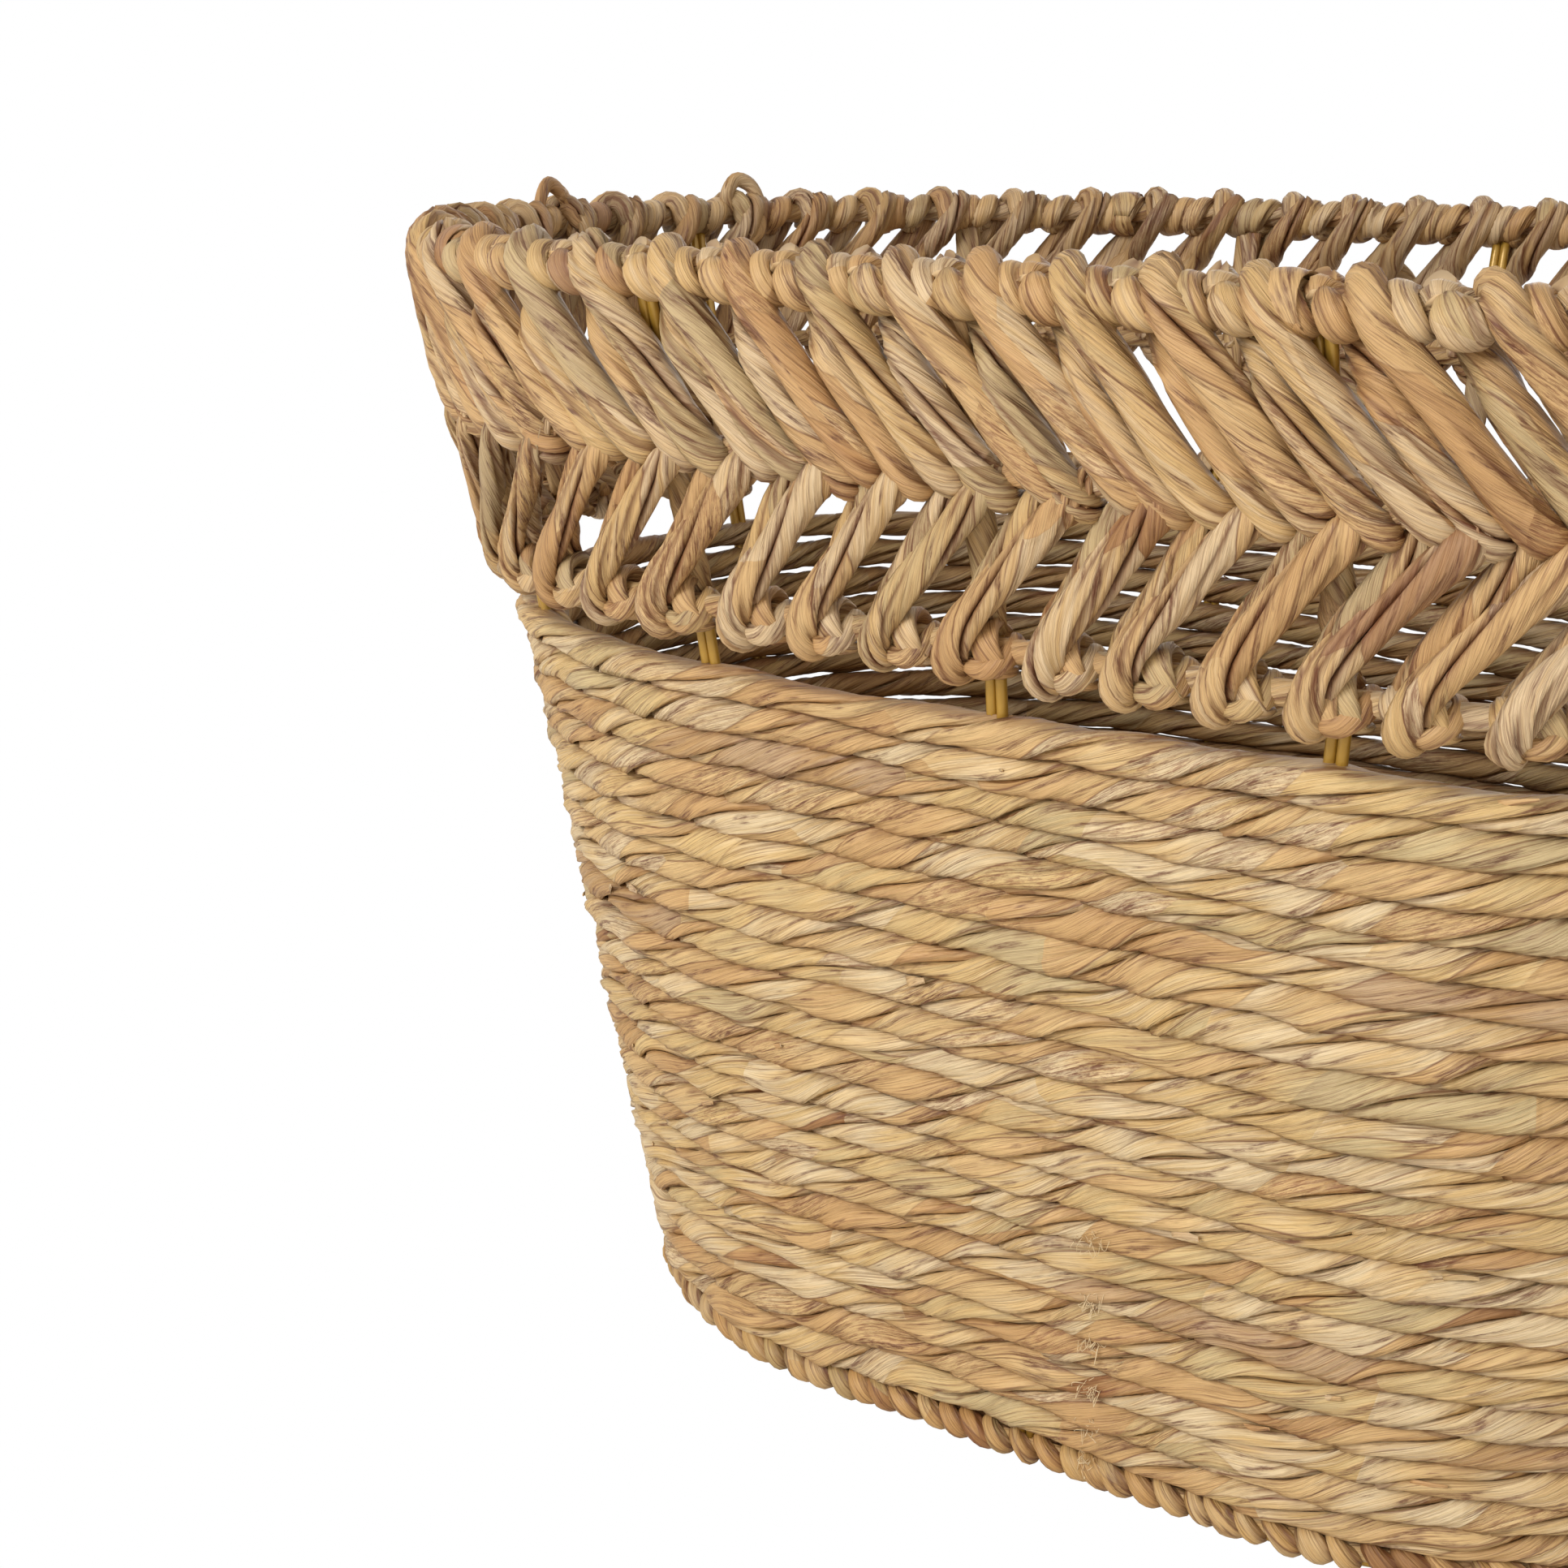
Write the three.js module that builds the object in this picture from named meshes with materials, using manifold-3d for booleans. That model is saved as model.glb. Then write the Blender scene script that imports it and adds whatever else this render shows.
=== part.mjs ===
// Oval storage basket: twisted leaf rope twined on a frame of painted wire,
// under an open band of leaning strands that zigzag between the rim, a middle
// ring and a hoop. Millimetres, +Z up, origin on the floor under the middle.
// +X runs along the oval, -Y is the broad front.

import * as THREE from 'three';
import { mergeVertices } from 'three/addons/utils/BufferGeometryUtils.js';
import Module from 'manifold-3d';

const wasm = await Module();
wasm.setup();

// Overall size, measured over the rope and leaf
const HEIGHT = 310;
const RIM_LENGTH = 500;
const RIM_WIDTH = 327;
const HOOP_LENGTH = 464;
const HOOP_WIDTH = 291;
const FOOT_LENGTH = 357;
const FOOT_WIDTH = 231;

// Heights of the ring wires and of the woven body
const HOOP_HEIGHT = 221.5;
const MIDDLE_HEIGHT = 263;
const BODY_GAP = 11.3;

// Wire frame
const RING_WIRE = 3.5;
const STAY_WIRE = 2.8;
const STAY_NECK = 1.4;
const CROSS_WIRE = 3;
const CROSS_WIRES = 4;
const CROSS_WIRE_SPACING = 70;

// Stays: spaces between them round each end and along each side
const END_SPACES = 5;
const SIDE_SPACES = 2;

// Rope rows of the body
const ROWS = 22;
const ROPE_THICKNESS = 9.8;
const PLY_SPREAD = 4.6;

// Leaf band
const RIM_WRAP = 13;
const HOOP_WRAP = 11.6;
const PAIRS_PER_SPACE = 4;
const UPPER_STRAND_GAP = 1.4;
const LOWER_STRAND_GAP = 8;
const STRAND_DEPTH = 3.6;
const UPPER_LEAN = 30;
const LOWER_LEAN = 30;
const STRAND_TUCK = 2.5;
const STRAND_INSET = 0.3;
const ELBOW_BULGE = 2.2;

// Foot and floor of the basket
const FOOT_HEIGHT = 9;
const FOOT_THICKNESS = 8.4;
const FOOT_FLAT = 4.6;
const FOOT_SHOULDER = 2.4;
const FLOOR_THICKNESS = 8;

// Gap between pieces that touch, and between a wire and the leaf wrapped on it
const CLEARANCE = 0.3;

const STAYS = 2 * (END_SPACES + SIDE_SPACES);
const HALF_TURN = END_SPACES + SIDE_SPACES;
const SIDE_RUN = SIDE_SPACES / 2;
const STATIONS = 2 * STAYS;
const HEX_FLAT = Math.sin(Math.PI / 3);

// A wrap's bore is as much larger than its wire as the clearance asks on the flats
const BORE_GROWTH = CLEARANCE / HEX_FLAT;

// The middle ring and the hoop lie outside the stays, the rim and base ring above
// and below them
const OUTER_RING_OFFSET = STAY_WIRE / 2 + CLEARANCE + RING_WIRE / 2;
const HOOP_REACH = OUTER_RING_OFFSET + HOOP_WRAP / 2;
const RIM_HEIGHT = HEIGHT - (RIM_WRAP / 2) * HEX_FLAT;
const FOOT_GROOVE_FLOOR = 1.8;
const BASE_WIRE_HEIGHT = FOOT_GROOVE_FLOOR + CLEARANCE + (RING_WIRE / 2) * HEX_FLAT;
const BASE_WIRE_TOP = BASE_WIRE_HEIGHT + (RING_WIRE / 2) * HEX_FLAT;
const CROSS_WIRE_HEIGHT = BASE_WIRE_TOP + CLEARANCE + CROSS_WIRE / 2;
const FLOOR_UNDERSIDE = CROSS_WIRE_HEIGHT + CROSS_WIRE / 2 + CLEARANCE;
const ROWS_START = FOOT_HEIGHT + CLEARANCE;
const BODY_TOP = HOOP_HEIGHT - (HOOP_WRAP / 2) * HEX_FLAT - BODY_GAP;
const ROW_PITCH = (BODY_TOP - ROWS_START) / ROWS;

// The line of the stays: straight from foot to hoop and flared from hoop to rim.
// Each level is an oval of straight sides and half-round ends.
function oval(height, length, width, reach) {
  return {
    height,
    half: (length - width) / 2,
    radius: width / 2 - reach,
  };
}

const LEVELS = [
  oval(BASE_WIRE_HEIGHT, FOOT_LENGTH, FOOT_WIDTH, FOOT_THICKNESS / 2),
  oval(HOOP_HEIGHT, HOOP_LENGTH, HOOP_WIDTH, HOOP_REACH),
  oval(RIM_HEIGHT, RIM_LENGTH, RIM_WIDTH, RIM_WRAP / 2),
];

function ovalAt(z) {
  const [low, high] = z < LEVELS[1].height ? [LEVELS[0], LEVELS[1]] : [LEVELS[1], LEVELS[2]];
  const share = (z - low.height) / (high.height - low.height);
  return {
    half: THREE.MathUtils.lerp(low.half, high.half, share),
    radius: THREE.MathUtils.lerp(low.radius, high.radius, share),
  };
}

// A point of the wall: place counts stays round the oval from the front middle,
// out is the distance outside the line of the stays
function ovalPoint(place, out, z) {
  const { half, radius } = ovalAt(z);
  const reach = radius + out;
  const round = THREE.MathUtils.euclideanModulo(place, STAYS);
  const side = round < HALF_TURN ? 1 : -1;
  const run = round < HALF_TURN ? round : round - HALF_TURN;
  if (run < SIDE_RUN) {
    return new THREE.Vector3(side * half * (run / SIDE_RUN), -side * reach, z);
  }
  if (run > SIDE_RUN + END_SPACES) {
    return new THREE.Vector3(side * half * ((HALF_TURN - run) / SIDE_RUN), side * reach, z);
  }
  const turn = Math.PI * ((run - SIDE_RUN) / END_SPACES - 0.5);
  return new THREE.Vector3(
    side * (half + reach * Math.cos(turn)),
    side * reach * Math.sin(turn),
    z,
  );
}

// Every piece follows one faceted wall, with a corner at each stay and halfway
// between stays, so neighbours stay parallel
function wallPoint(place, out, z) {
  const corner = Math.floor(place * 2 + 1e-9) / 2;
  const share = (place - corner) * 2;
  const start = ovalPoint(corner, out, z);
  return share < 1e-9 ? start : start.lerp(ovalPoint(corner + 0.5, out, z), share);
}

function spaceLength(place, z) {
  return wallPoint(place, 0, z).distanceTo(wallPoint(place + 0.5, 0, z)) * 2;
}

// Turns a mesh the right way round where its sections ran the other way
function outward(geometry) {
  const position = geometry.getAttribute('position');
  const index = geometry.getIndex().array;
  const corners = [new THREE.Vector3(), new THREE.Vector3(), new THREE.Vector3()];
  let volume = 0;
  for (let i = 0; i < index.length; i += 3) {
    corners.forEach((corner, k) => corner.fromBufferAttribute(position, index[i + k]));
    volume += corners[0].dot(corners[1].cross(corners[2]));
  }
  if (volume < 0) {
    geometry.setIndex(Array.from(index).reverse());
  }
  return geometry;
}

function geometryFrom(points, index) {
  const geometry = new THREE.BufferGeometry().setFromPoints(points);
  geometry.setIndex(index);
  return outward(geometry);
}

// Joins sections of equal point counts; outline gives the flat shape of an end
function loft(sections, { closed = false, outline = null } = {}) {
  const count = sections[0].length;
  const steps = closed ? sections.length : sections.length - 1;
  const index = [];
  for (let step = 0; step < steps; step += 1) {
    const here = step * count;
    const there = ((step + 1) % sections.length) * count;
    for (let i = 0; i < count; i += 1) {
      const next = (i + 1) % count;
      index.push(here + i, here + next, there + next, here + i, there + next, there + i);
    }
  }
  if (!closed) {
    const last = (sections.length - 1) * count;
    for (const [a, b, c] of THREE.ShapeUtils.triangulateShape(outline, [])) {
      index.push(a, c, b, last + a, last + b, last + c);
    }
  }
  return geometryFrom(sections.flat(), index);
}

// Six-sided section with flats above and below, as [out, up] pairs
function hexagon(width) {
  return Array.from({ length: 6 }, (unused, i) => {
    const turn = (i * Math.PI) / 3;
    return new THREE.Vector2(Math.cos(turn), Math.sin(turn)).multiplyScalar(width / 2);
  });
}

// Section of a wrap that is flat where the strands come out of it: below for
// side 1, above for side -1
function arch(width, side) {
  const half = (width / 2) * side;
  const rise = half * HEX_FLAT;
  return [
    [-half, -rise],
    [half, -rise],
    [half, 0],
    [half / 2, rise],
    [-half / 2, rise],
    [-half, 0],
  ].map(([out, up]) => new THREE.Vector2(out, up));
}

// Tube with a given section round the whole wall, or from one place to another
function wallTube(section, out, z) {
  const rings = Array.from({ length: STATIONS }, (unused, i) =>
    section.map((p) => wallPoint(i / 2, out + p.x, z + p.y)));
  return loft(rings, { closed: true });
}

function wallRun(section, out, z, from, to) {
  const places = [from];
  for (let corner = Math.floor(from * 2) / 2 + 0.5; corner < to - 1e-6; corner += 0.5) {
    places.push(corner);
  }
  places.push(to);
  const rings = places.map((place) =>
    section.map((p) => wallPoint(place, out + p.x, z + p.y)));
  return loft(rings, { outline: section });
}

function toSolid(geometry) {
  const bare = geometry.clone();
  bare.deleteAttribute('normal');
  bare.deleteAttribute('uv');
  const merged = mergeVertices(bare, 1e-5);
  return new wasm.Manifold(new wasm.Mesh({
    numProp: 3,
    vertProperties: new Float32Array(merged.getAttribute('position').array),
    triVerts: new Uint32Array(merged.getIndex().array),
  }));
}

function fromSolid(solid) {
  const mesh = solid.getMesh();
  const geometry = new THREE.BufferGeometry();
  geometry.setAttribute('position', new THREE.BufferAttribute(mesh.vertProperties, 3));
  geometry.setIndex(new THREE.BufferAttribute(mesh.triVerts, 1));
  return geometry;
}

// Materials
const leaf = (color) => new THREE.MeshStandardMaterial({ color, roughness: 0.8, metalness: 0 });
const paint = () => new THREE.MeshStandardMaterial({ color: 0xc9a53e, roughness: 0.35, metalness: 0.3 });

const basket = new THREE.Group();

function addPiece(name, geometry, material) {
  const mesh = new THREE.Mesh(geometry, material);
  mesh.name = name;
  basket.add(mesh);
}

const numbered = (name, i) => `${name}_${String(i + 1).padStart(2, '0')}`;

// Ring wires: the rim and base rings stand on the line of the stays, the middle
// ring and the hoop run round outside it
function addRingWires() {
  const section = hexagon(RING_WIRE);
  addPiece('rim_wire', wallTube(section, 0, RIM_HEIGHT), paint());
  addPiece('middle_wire', wallTube(section, OUTER_RING_OFFSET, MIDDLE_HEIGHT), paint());
  addPiece('hoop_wire', wallTube(section, OUTER_RING_OFFSET, HOOP_HEIGHT), paint());
  addPiece('base_wire', wallTube(section, 0, BASE_WIRE_HEIGHT), paint());
}

// One stay is two wires lying side by side and brazed along their touching line
function stayOutline(growth) {
  const radius = STAY_WIRE / 2;
  const rise = radius + growth;
  const neck = STAY_NECK / 2 + growth;
  const half = [[STAY_WIRE + growth, 0], [radius, rise], [0, neck], [-radius, rise]];
  const outer = half.map(([across, out]) => new THREE.Vector2(across, out));
  return [...outer, ...outer.map((p) => new THREE.Vector2(-p.x, -p.y))];
}

// Unit vector along the wall at a stay
function along(place, z) {
  const ahead = ovalPoint(place + 0.5, 0, z);
  return ahead.sub(ovalPoint(place - 0.5, 0, z)).normalize();
}

// The stay itself, or with growth the room that a piece beside it leaves
function stayShape(stay, growth = 0) {
  const outline = stayOutline(growth);
  const bottom = BASE_WIRE_TOP + CLEARANCE;
  const top = RIM_HEIGHT - (RING_WIRE / 2) * HEX_FLAT - CLEARANCE;
  const sections = [bottom, HOOP_HEIGHT, top].map((z) =>
    outline.map((p) => ovalPoint(stay, p.y, z).addScaledVector(along(stay, z), p.x)));
  return loft(sections, { outline });
}

function addStays() {
  for (let stay = 0; stay < STAYS; stay += 1) {
    addPiece(numbered('stay', stay), stayShape(stay), paint());
  }
}

// One row of the body: a two-ply rope twined round the stays. Its plies part at
// each stay, one passing outside and one inside, and close on each other halfway.
function ropeRow(middle) {
  const half = ROPE_THICKNESS / 2;
  const rise = (ROW_PITCH - CLEARANCE) / 2;
  const slot = STAY_WIRE / 2 + 2 * CLEARANCE;
  const points = [];
  const index = [];
  const corner = { outer: 0, topOut: 1, topIn: 2, inner: 3, lowIn: 4, lowOut: 5 };
  const count = Object.keys(corner).length;
  for (let i = 0; i < STATIONS; i += 1) {
    const spread = i % 2 === 0 ? slot : PLY_SPREAD / 2;
    points.push(
      wallPoint(i / 2, half, middle),
      wallPoint(i / 2, spread, middle + rise),
      wallPoint(i / 2, -spread, middle + rise),
      wallPoint(i / 2, -half, middle),
      wallPoint(i / 2, -spread, middle - rise),
      wallPoint(i / 2, spread, middle - rise),
    );
  }
  for (let i = 0; i < STATIONS; i += 1) {
    const atStay = i % 2 === 0;
    const here = (name) => i * count + corner[name];
    const there = (name) => ((i + 1) % STATIONS) * count + corner[name];
    const quad = (a, b, c, d) => index.push(a, b, c, a, c, d);
    const strip = (a, b) => quad(here(a), here(b), there(b), there(a));
    strip('outer', 'topOut');
    strip('topIn', 'inner');
    strip('inner', 'lowIn');
    strip('lowOut', 'outer');
    if (atStay) {
      quad(here('topOut'), here('lowOut'), there('lowOut'), there('topOut'));
      quad(here('lowIn'), here('topIn'), there('topOut'), there('lowOut'));
      index.push(here('topIn'), there('topIn'), there('topOut'));
      index.push(here('lowIn'), there('lowOut'), there('lowIn'));
    } else {
      quad(here('lowIn'), here('topIn'), there('topIn'), there('lowIn'));
      quad(here('topIn'), here('lowIn'), there('lowOut'), there('topOut'));
      index.push(here('topOut'), here('topIn'), there('topOut'));
      index.push(here('lowIn'), here('lowOut'), there('lowOut'));
    }
  }
  return geometryFrom(points, index);
}

function addRopeRows() {
  for (let row = 0; row < ROWS; row += 1) {
    const middle = ROWS_START + (row + 0.5) * ROW_PITCH - CLEARANCE / 2;
    addPiece(numbered('rope_row', row), ropeRow(middle), leaf(row % 2 ? 0xd9bb86 : 0xcfae78));
  }
}

// One pair of strands of the band, pressed against each other: from the rim,
// leaning forwards down to the middle ring and back again to the hoop. The pairs
// nearly close the upper half and stand apart at the hoop. The outline is in
// quarter widths across and half thicknesses outward.
function strandPair(start) {
  const rimOut = (RIM_WRAP - STRAND_DEPTH) / 2 - STRAND_INSET;
  const middleOut = OUTER_RING_OFFSET + (RING_WIRE + STRAND_DEPTH) / 2 + ELBOW_BULGE;
  const hoopOut = HOOP_REACH - STRAND_DEPTH / 2 - STRAND_INSET;
  const forward = UPPER_LEAN / spaceLength(start, MIDDLE_HEIGHT);
  const back = LOWER_LEAN / spaceLength(start, MIDDLE_HEIGHT);
  const stops = [
    [start, rimOut, RIM_HEIGHT - STRAND_TUCK, UPPER_STRAND_GAP],
    [start + forward, middleOut, MIDDLE_HEIGHT, UPPER_STRAND_GAP],
    [start + forward - back, hoopOut, HOOP_HEIGHT + STRAND_TUCK, LOWER_STRAND_GAP],
  ];
  const outline = [[-2, -1], [2, -1], [1, 1], [0, 0], [-1, 1]]
    .map(([across, out]) => new THREE.Vector2(across, out));
  const sections = stops.map(([place, out, z, gap]) => {
    const quarterWidth = (1 / PAIRS_PER_SPACE - gap / spaceLength(place, z)) / 4;
    const halfDepth = STRAND_DEPTH / 2;
    return outline.map((p) => wallPoint(place + p.x * quarterWidth, out + p.y * halfDepth, z));
  });
  return loft(sections, { outline });
}

// The leaf work between two stays: wraps on the rim and on the hoop, which stop
// short of the stays, and the strands between them
function chevronPanel(stay) {
  const drift = (UPPER_LEAN - LOWER_LEAN) / spaceLength(stay, HOOP_HEIGHT);
  const wraps = [
    { out: 0, z: RIM_HEIGHT, size: RIM_WRAP, side: 1 },
    { out: OUTER_RING_OFFSET, z: HOOP_HEIGHT, size: HOOP_WRAP, side: -1 },
  ];
  const pieces = [];
  for (const { out, z, size, side } of wraps) {
    const gap = (STAY_WIRE + 2 * CLEARANCE) / spaceLength(stay, z);
    pieces.push(wallRun(arch(size, side), out, z, stay + gap, stay + 1 - gap));
  }
  for (let pair = 0; pair < PAIRS_PER_SPACE; pair += 1) {
    pieces.push(strandPair(stay + (pair + 0.5) / PAIRS_PER_SPACE - drift / 2));
  }
  let panel = pieces.map(toSolid).reduce((whole, piece) => whole.add(piece));
  const bore = hexagon(RING_WIRE + 2 * BORE_GROWTH);
  for (const { out, z } of wraps) {
    panel = panel.subtract(toSolid(wallRun(bore, out, z, stay - 0.5, stay + 1.5)));
  }
  for (const neighbour of [stay, stay + 1]) {
    panel = panel.subtract(toSolid(stayShape(neighbour, CLEARANCE)));
  }
  return fromSolid(panel);
}

function addChevronBand() {
  for (let stay = 0; stay < STAYS; stay += 1) {
    addPiece(numbered('chevron_panel', stay), chevronPanel(stay), leaf(0xc8a468));
  }
}

// Wrapped foot: a ring with a flat underside and a groove on top for the base
// wire. Its inner wall is lower, so the cross wires can lie on the base wire.
function addFoot() {
  const half = FOOT_THICKNESS / 2;
  const groove = RING_WIRE / 2 + CLEARANCE;
  const innerTop = CROSS_WIRE_HEIGHT - CROSS_WIRE / 2 - CLEARANCE;
  const section = [
    [-FOOT_FLAT / 2, 0],
    [FOOT_FLAT / 2, 0],
    [half, FOOT_SHOULDER],
    [half, FOOT_HEIGHT - FOOT_SHOULDER],
    [groove, FOOT_HEIGHT],
    [groove, FOOT_GROOVE_FLOOR],
    [-groove, FOOT_GROOVE_FLOOR],
    [-groove, innerTop],
    [-half, innerTop],
    [-half, FOOT_SHOULDER],
  ].map(([out, up]) => new THREE.Vector2(out, up));
  addPiece('foot_wrap', wallTube(section, 0, 0), leaf(0xb88f52));
}

// Cross wires lie on the base wire from side to side
function addCrossWires() {
  const { half, radius } = ovalAt(CROSS_WIRE_HEIGHT);
  const reach = radius * Math.cos(Math.PI / END_SPACES / 4);
  for (let i = 0; i < CROSS_WIRES; i += 1) {
    const x = (i - (CROSS_WIRES - 1) / 2) * CROSS_WIRE_SPACING;
    const past = Math.max(0, Math.abs(x) + CROSS_WIRE / 2 - half);
    const length = 2 * Math.sqrt(reach ** 2 - past ** 2);
    const wire = new THREE.CylinderGeometry(CROSS_WIRE / 2, CROSS_WIRE / 2, length, 8);
    wire.translate(x, 0, CROSS_WIRE_HEIGHT);
    addPiece(numbered('base_cross_wire', i), wire, paint());
  }
}

// Floor of the basket: an oval mat that lies on the cross wires inside the rows
function addFloor() {
  const out = -ROPE_THICKNESS / 2 - CLEARANCE;
  const levels = [FLOOR_UNDERSIDE, FLOOR_UNDERSIDE + FLOOR_THICKNESS];
  const rings = levels.map((z) =>
    Array.from({ length: STATIONS }, (unused, i) => wallPoint(i / 2, out, z)));
  const outline = rings[0].map((p) => new THREE.Vector2(p.x, p.y));
  addPiece('base_mat', loft(rings, { outline }), leaf(0xc4a06a));
}

addRingWires();
addStays();
addRopeRows();
addChevronBand();
addFoot();
addCrossWires();
addFloor();

export default basket;
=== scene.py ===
import math

import bpy
import numpy as np
from bpy.props import FloatProperty, FloatVectorProperty, PointerProperty
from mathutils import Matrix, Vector


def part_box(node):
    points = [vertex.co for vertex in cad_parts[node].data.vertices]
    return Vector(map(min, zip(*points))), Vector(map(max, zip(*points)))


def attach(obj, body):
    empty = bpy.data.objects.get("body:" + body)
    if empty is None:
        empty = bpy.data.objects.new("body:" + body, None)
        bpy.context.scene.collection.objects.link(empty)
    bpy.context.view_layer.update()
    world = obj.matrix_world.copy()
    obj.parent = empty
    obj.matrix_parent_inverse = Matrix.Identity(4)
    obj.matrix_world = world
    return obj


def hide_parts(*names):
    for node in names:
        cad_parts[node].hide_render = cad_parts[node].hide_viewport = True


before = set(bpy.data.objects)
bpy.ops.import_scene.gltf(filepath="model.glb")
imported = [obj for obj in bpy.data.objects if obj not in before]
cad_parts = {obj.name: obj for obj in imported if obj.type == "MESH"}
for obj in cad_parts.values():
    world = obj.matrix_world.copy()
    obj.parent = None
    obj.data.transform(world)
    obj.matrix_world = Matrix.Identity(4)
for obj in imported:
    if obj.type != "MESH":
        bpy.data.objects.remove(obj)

bl_info = {
    "name": "Oval Leaf Basket",
    "version": (1, 0, 0),
    "blender": (4, 5, 0),
    "location": "View3D > Sidebar > Basket",
    "description": "Dresses the oval storage basket in twisted leaf rope, leaf strands and painted wire",
    "category": "Object",
}

MM = 0.001

# The frame: the wire rings give the line of the stays, on which every piece is placed.
# A place counts stays round the wall: 0 is the middle of the front and 7 of the back.
STAYS = sum(name.startswith("stay_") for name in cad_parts)
ROWS = sum(name.startswith("rope_row_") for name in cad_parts)
END_BAYS = 5
SIDE_BAYS = 2
HALF_ROUND = END_BAYS + SIDE_BAYS
STAY_WIRE = 2.8 * MM
RING_WIRE = 3.5 * MM
RING_OFFSET = (STAY_WIRE + RING_WIRE) / 2 + 0.3 * MM


def level(node, out):
    """Height, half straight length and end radius of the stays' line at a ring wire."""
    low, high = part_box(node)
    half = ((high[0] - low[0]) - (high[1] - low[1])) / 2
    radius = (high[1] - low[1]) / 2 - RING_WIRE / 2 - out
    return (low[2] + high[2]) / 2, half, radius


BASE = level("base_wire", 0)
HOOP = level("hoop_wire", RING_OFFSET)
RIM = level("rim_wire", 0)
BASE_Z, HOOP_Z, RIM_Z = BASE[0], HOOP[0], RIM[0]
MIDDLE_Z = level("middle_wire", RING_OFFSET)[0]


# Colours


def linear(hex_colour):
    """sRGB hex colour as linear red, green, blue and alpha."""
    value = hex_colour.lstrip("#")
    parts = [int(value[i:i + 2], 16) / 255 for i in (0, 2, 4)]
    parts = [c / 12.92 if c <= 0.04045 else ((c + 0.055) / 1.055) ** 2.4 for c in parts]
    return (*parts, 1.0)


def colour_setting(name, description, hex_colour):
    return FloatVectorProperty(name=name, description=description, default=linear(hex_colour),
                               subtype="COLOR", size=4, min=0, max=1)


def length_setting(name, description, millimetres):
    return FloatProperty(name=name, description=description, default=millimetres * MM,
                         min=0.2 * MM, max=80 * MM, precision=4, unit="LENGTH")


class BasketSettings(bpy.types.PropertyGroup):
    """Sizes of the leaf work and colours of the leaf and the wire"""

    rope_depth: length_setting("Rope thickness", "Thickness of a rope row from inside to outside", 9.6)
    rope_lay: length_setting("Rope lay", "Length of rope in which one ply passes from bottom to top", 35)
    upper_width: length_setting("Upper strand", "Width of the strands between rim and middle ring", 9.3)
    lower_width: length_setting("Lower strand", "Width of the strands between middle ring and hoop", 8.3)
    leaf_length: length_setting("Leaf length", "Length of leaf that shows before the next one covers it", 60)
    leaf_width: length_setting("Leaf width", "Width of leaf that shows in a ply", 17)
    fibre_width: length_setting("Fibre spacing", "Spacing of the dark fibres across a leaf", 0.55)
    brown: colour_setting("Brown leaf", "Weathered brown leaf", "#9c6e46")
    russet: colour_setting("Russet leaf", "Reddish leaf", "#c6a070")
    tan: colour_setting("Tan leaf", "Tan leaf", "#ceab7b")
    straw: colour_setting("Straw leaf", "Straw leaf, the most common", "#d9bc8c")
    cream: colour_setting("Cream leaf", "Pale inner leaf", "#dfcdae")
    yellow: colour_setting("Yellow leaf", "Yellow leaf", "#d7b984")
    khaki: colour_setting("Khaki leaf", "Leaf dried while green", "#c9b78f")
    grey: colour_setting("Grey leaf", "Greyed leaf", "#bba886")
    # The fibre colour also paints the shade in the crevices
    fibre: colour_setting("Fibre", "Dark fibre and the edge of a leaf", "#683718")
    stain: colour_setting("Stain", "Speckled stain on some leaves", "#7c4429")
    blotch: colour_setting("Blotch", "Dark blotch where a leaf had rotted a little", "#5a2a16")
    enamel: colour_setting("Wire enamel", "Mustard enamel of the wires", "#b18b38")


# Places on the wall


def wall_axes(place, z):
    """Centre line, end radius and outward direction of the wall, for arrays of places and heights."""
    place, z = np.broadcast_arrays(np.asarray(place, float), np.asarray(z, float))
    heights, halves, radii = zip(BASE, HOOP, RIM)
    half = np.interp(z, heights, halves)
    radius = np.interp(z, heights, radii)
    below = np.maximum(BASE_Z - z, 0)
    radius = radius - below * (HOOP[2] - BASE[2]) / (HOOP_Z - BASE_Z)
    turns = np.mod(place, STAYS)
    side = np.where(turns < HALF_ROUND, 1.0, -1.0)
    run = np.mod(turns, HALF_ROUND)
    straight = SIDE_BAYS / 2
    angle = np.pi * (np.clip((run - straight) / END_BAYS, 0, 1) - 0.5)
    along = np.where(run < straight, run, np.where(run > HALF_ROUND - straight, HALF_ROUND - run, straight))
    outward = np.stack([side * np.cos(angle), side * np.sin(angle), np.zeros_like(angle)], -1)
    centre = np.stack([side * half * along / straight, np.zeros_like(half), z], -1)
    return centre, radius, outward


def on_wall(place, out, z):
    """Points at a place round the wall, a distance outside the stays' line and a height."""
    centre, radius, outward = wall_axes(place, z)
    return centre + outward * (radius + np.asarray(out, float))[..., None]


def bay_length(place, z):
    """Length of one bay between stays near a place and height."""
    return np.linalg.norm(on_wall(place + 0.02, 0, z) - on_wall(place - 0.02, 0, z)) / 0.04


def wave_blend(t):
    """Smooth step from 0 to 1."""
    t = np.clip(t, 0, 1)
    return t * t * (3 - 2 * t)


def at_back(place):
    """1 at the back of the basket and 0 at the front, where the leaf work is packed closer."""
    return wave_blend((4.6 - np.abs(np.mod(place, STAYS) - HALF_ROUND)) / 1.6)


def smooth_noise(rng, places, period, waves, strength):
    """Sum of sines that closes on itself over a period, of about unit height times strength."""
    total = np.zeros_like(places)
    for wave in waves:
        total += rng.uniform(0.5, 1) * np.sin(2 * np.pi * wave * places / period + rng.uniform(0, 2 * np.pi))
    return total * strength / math.sqrt(len(waves))


# Strands


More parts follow.
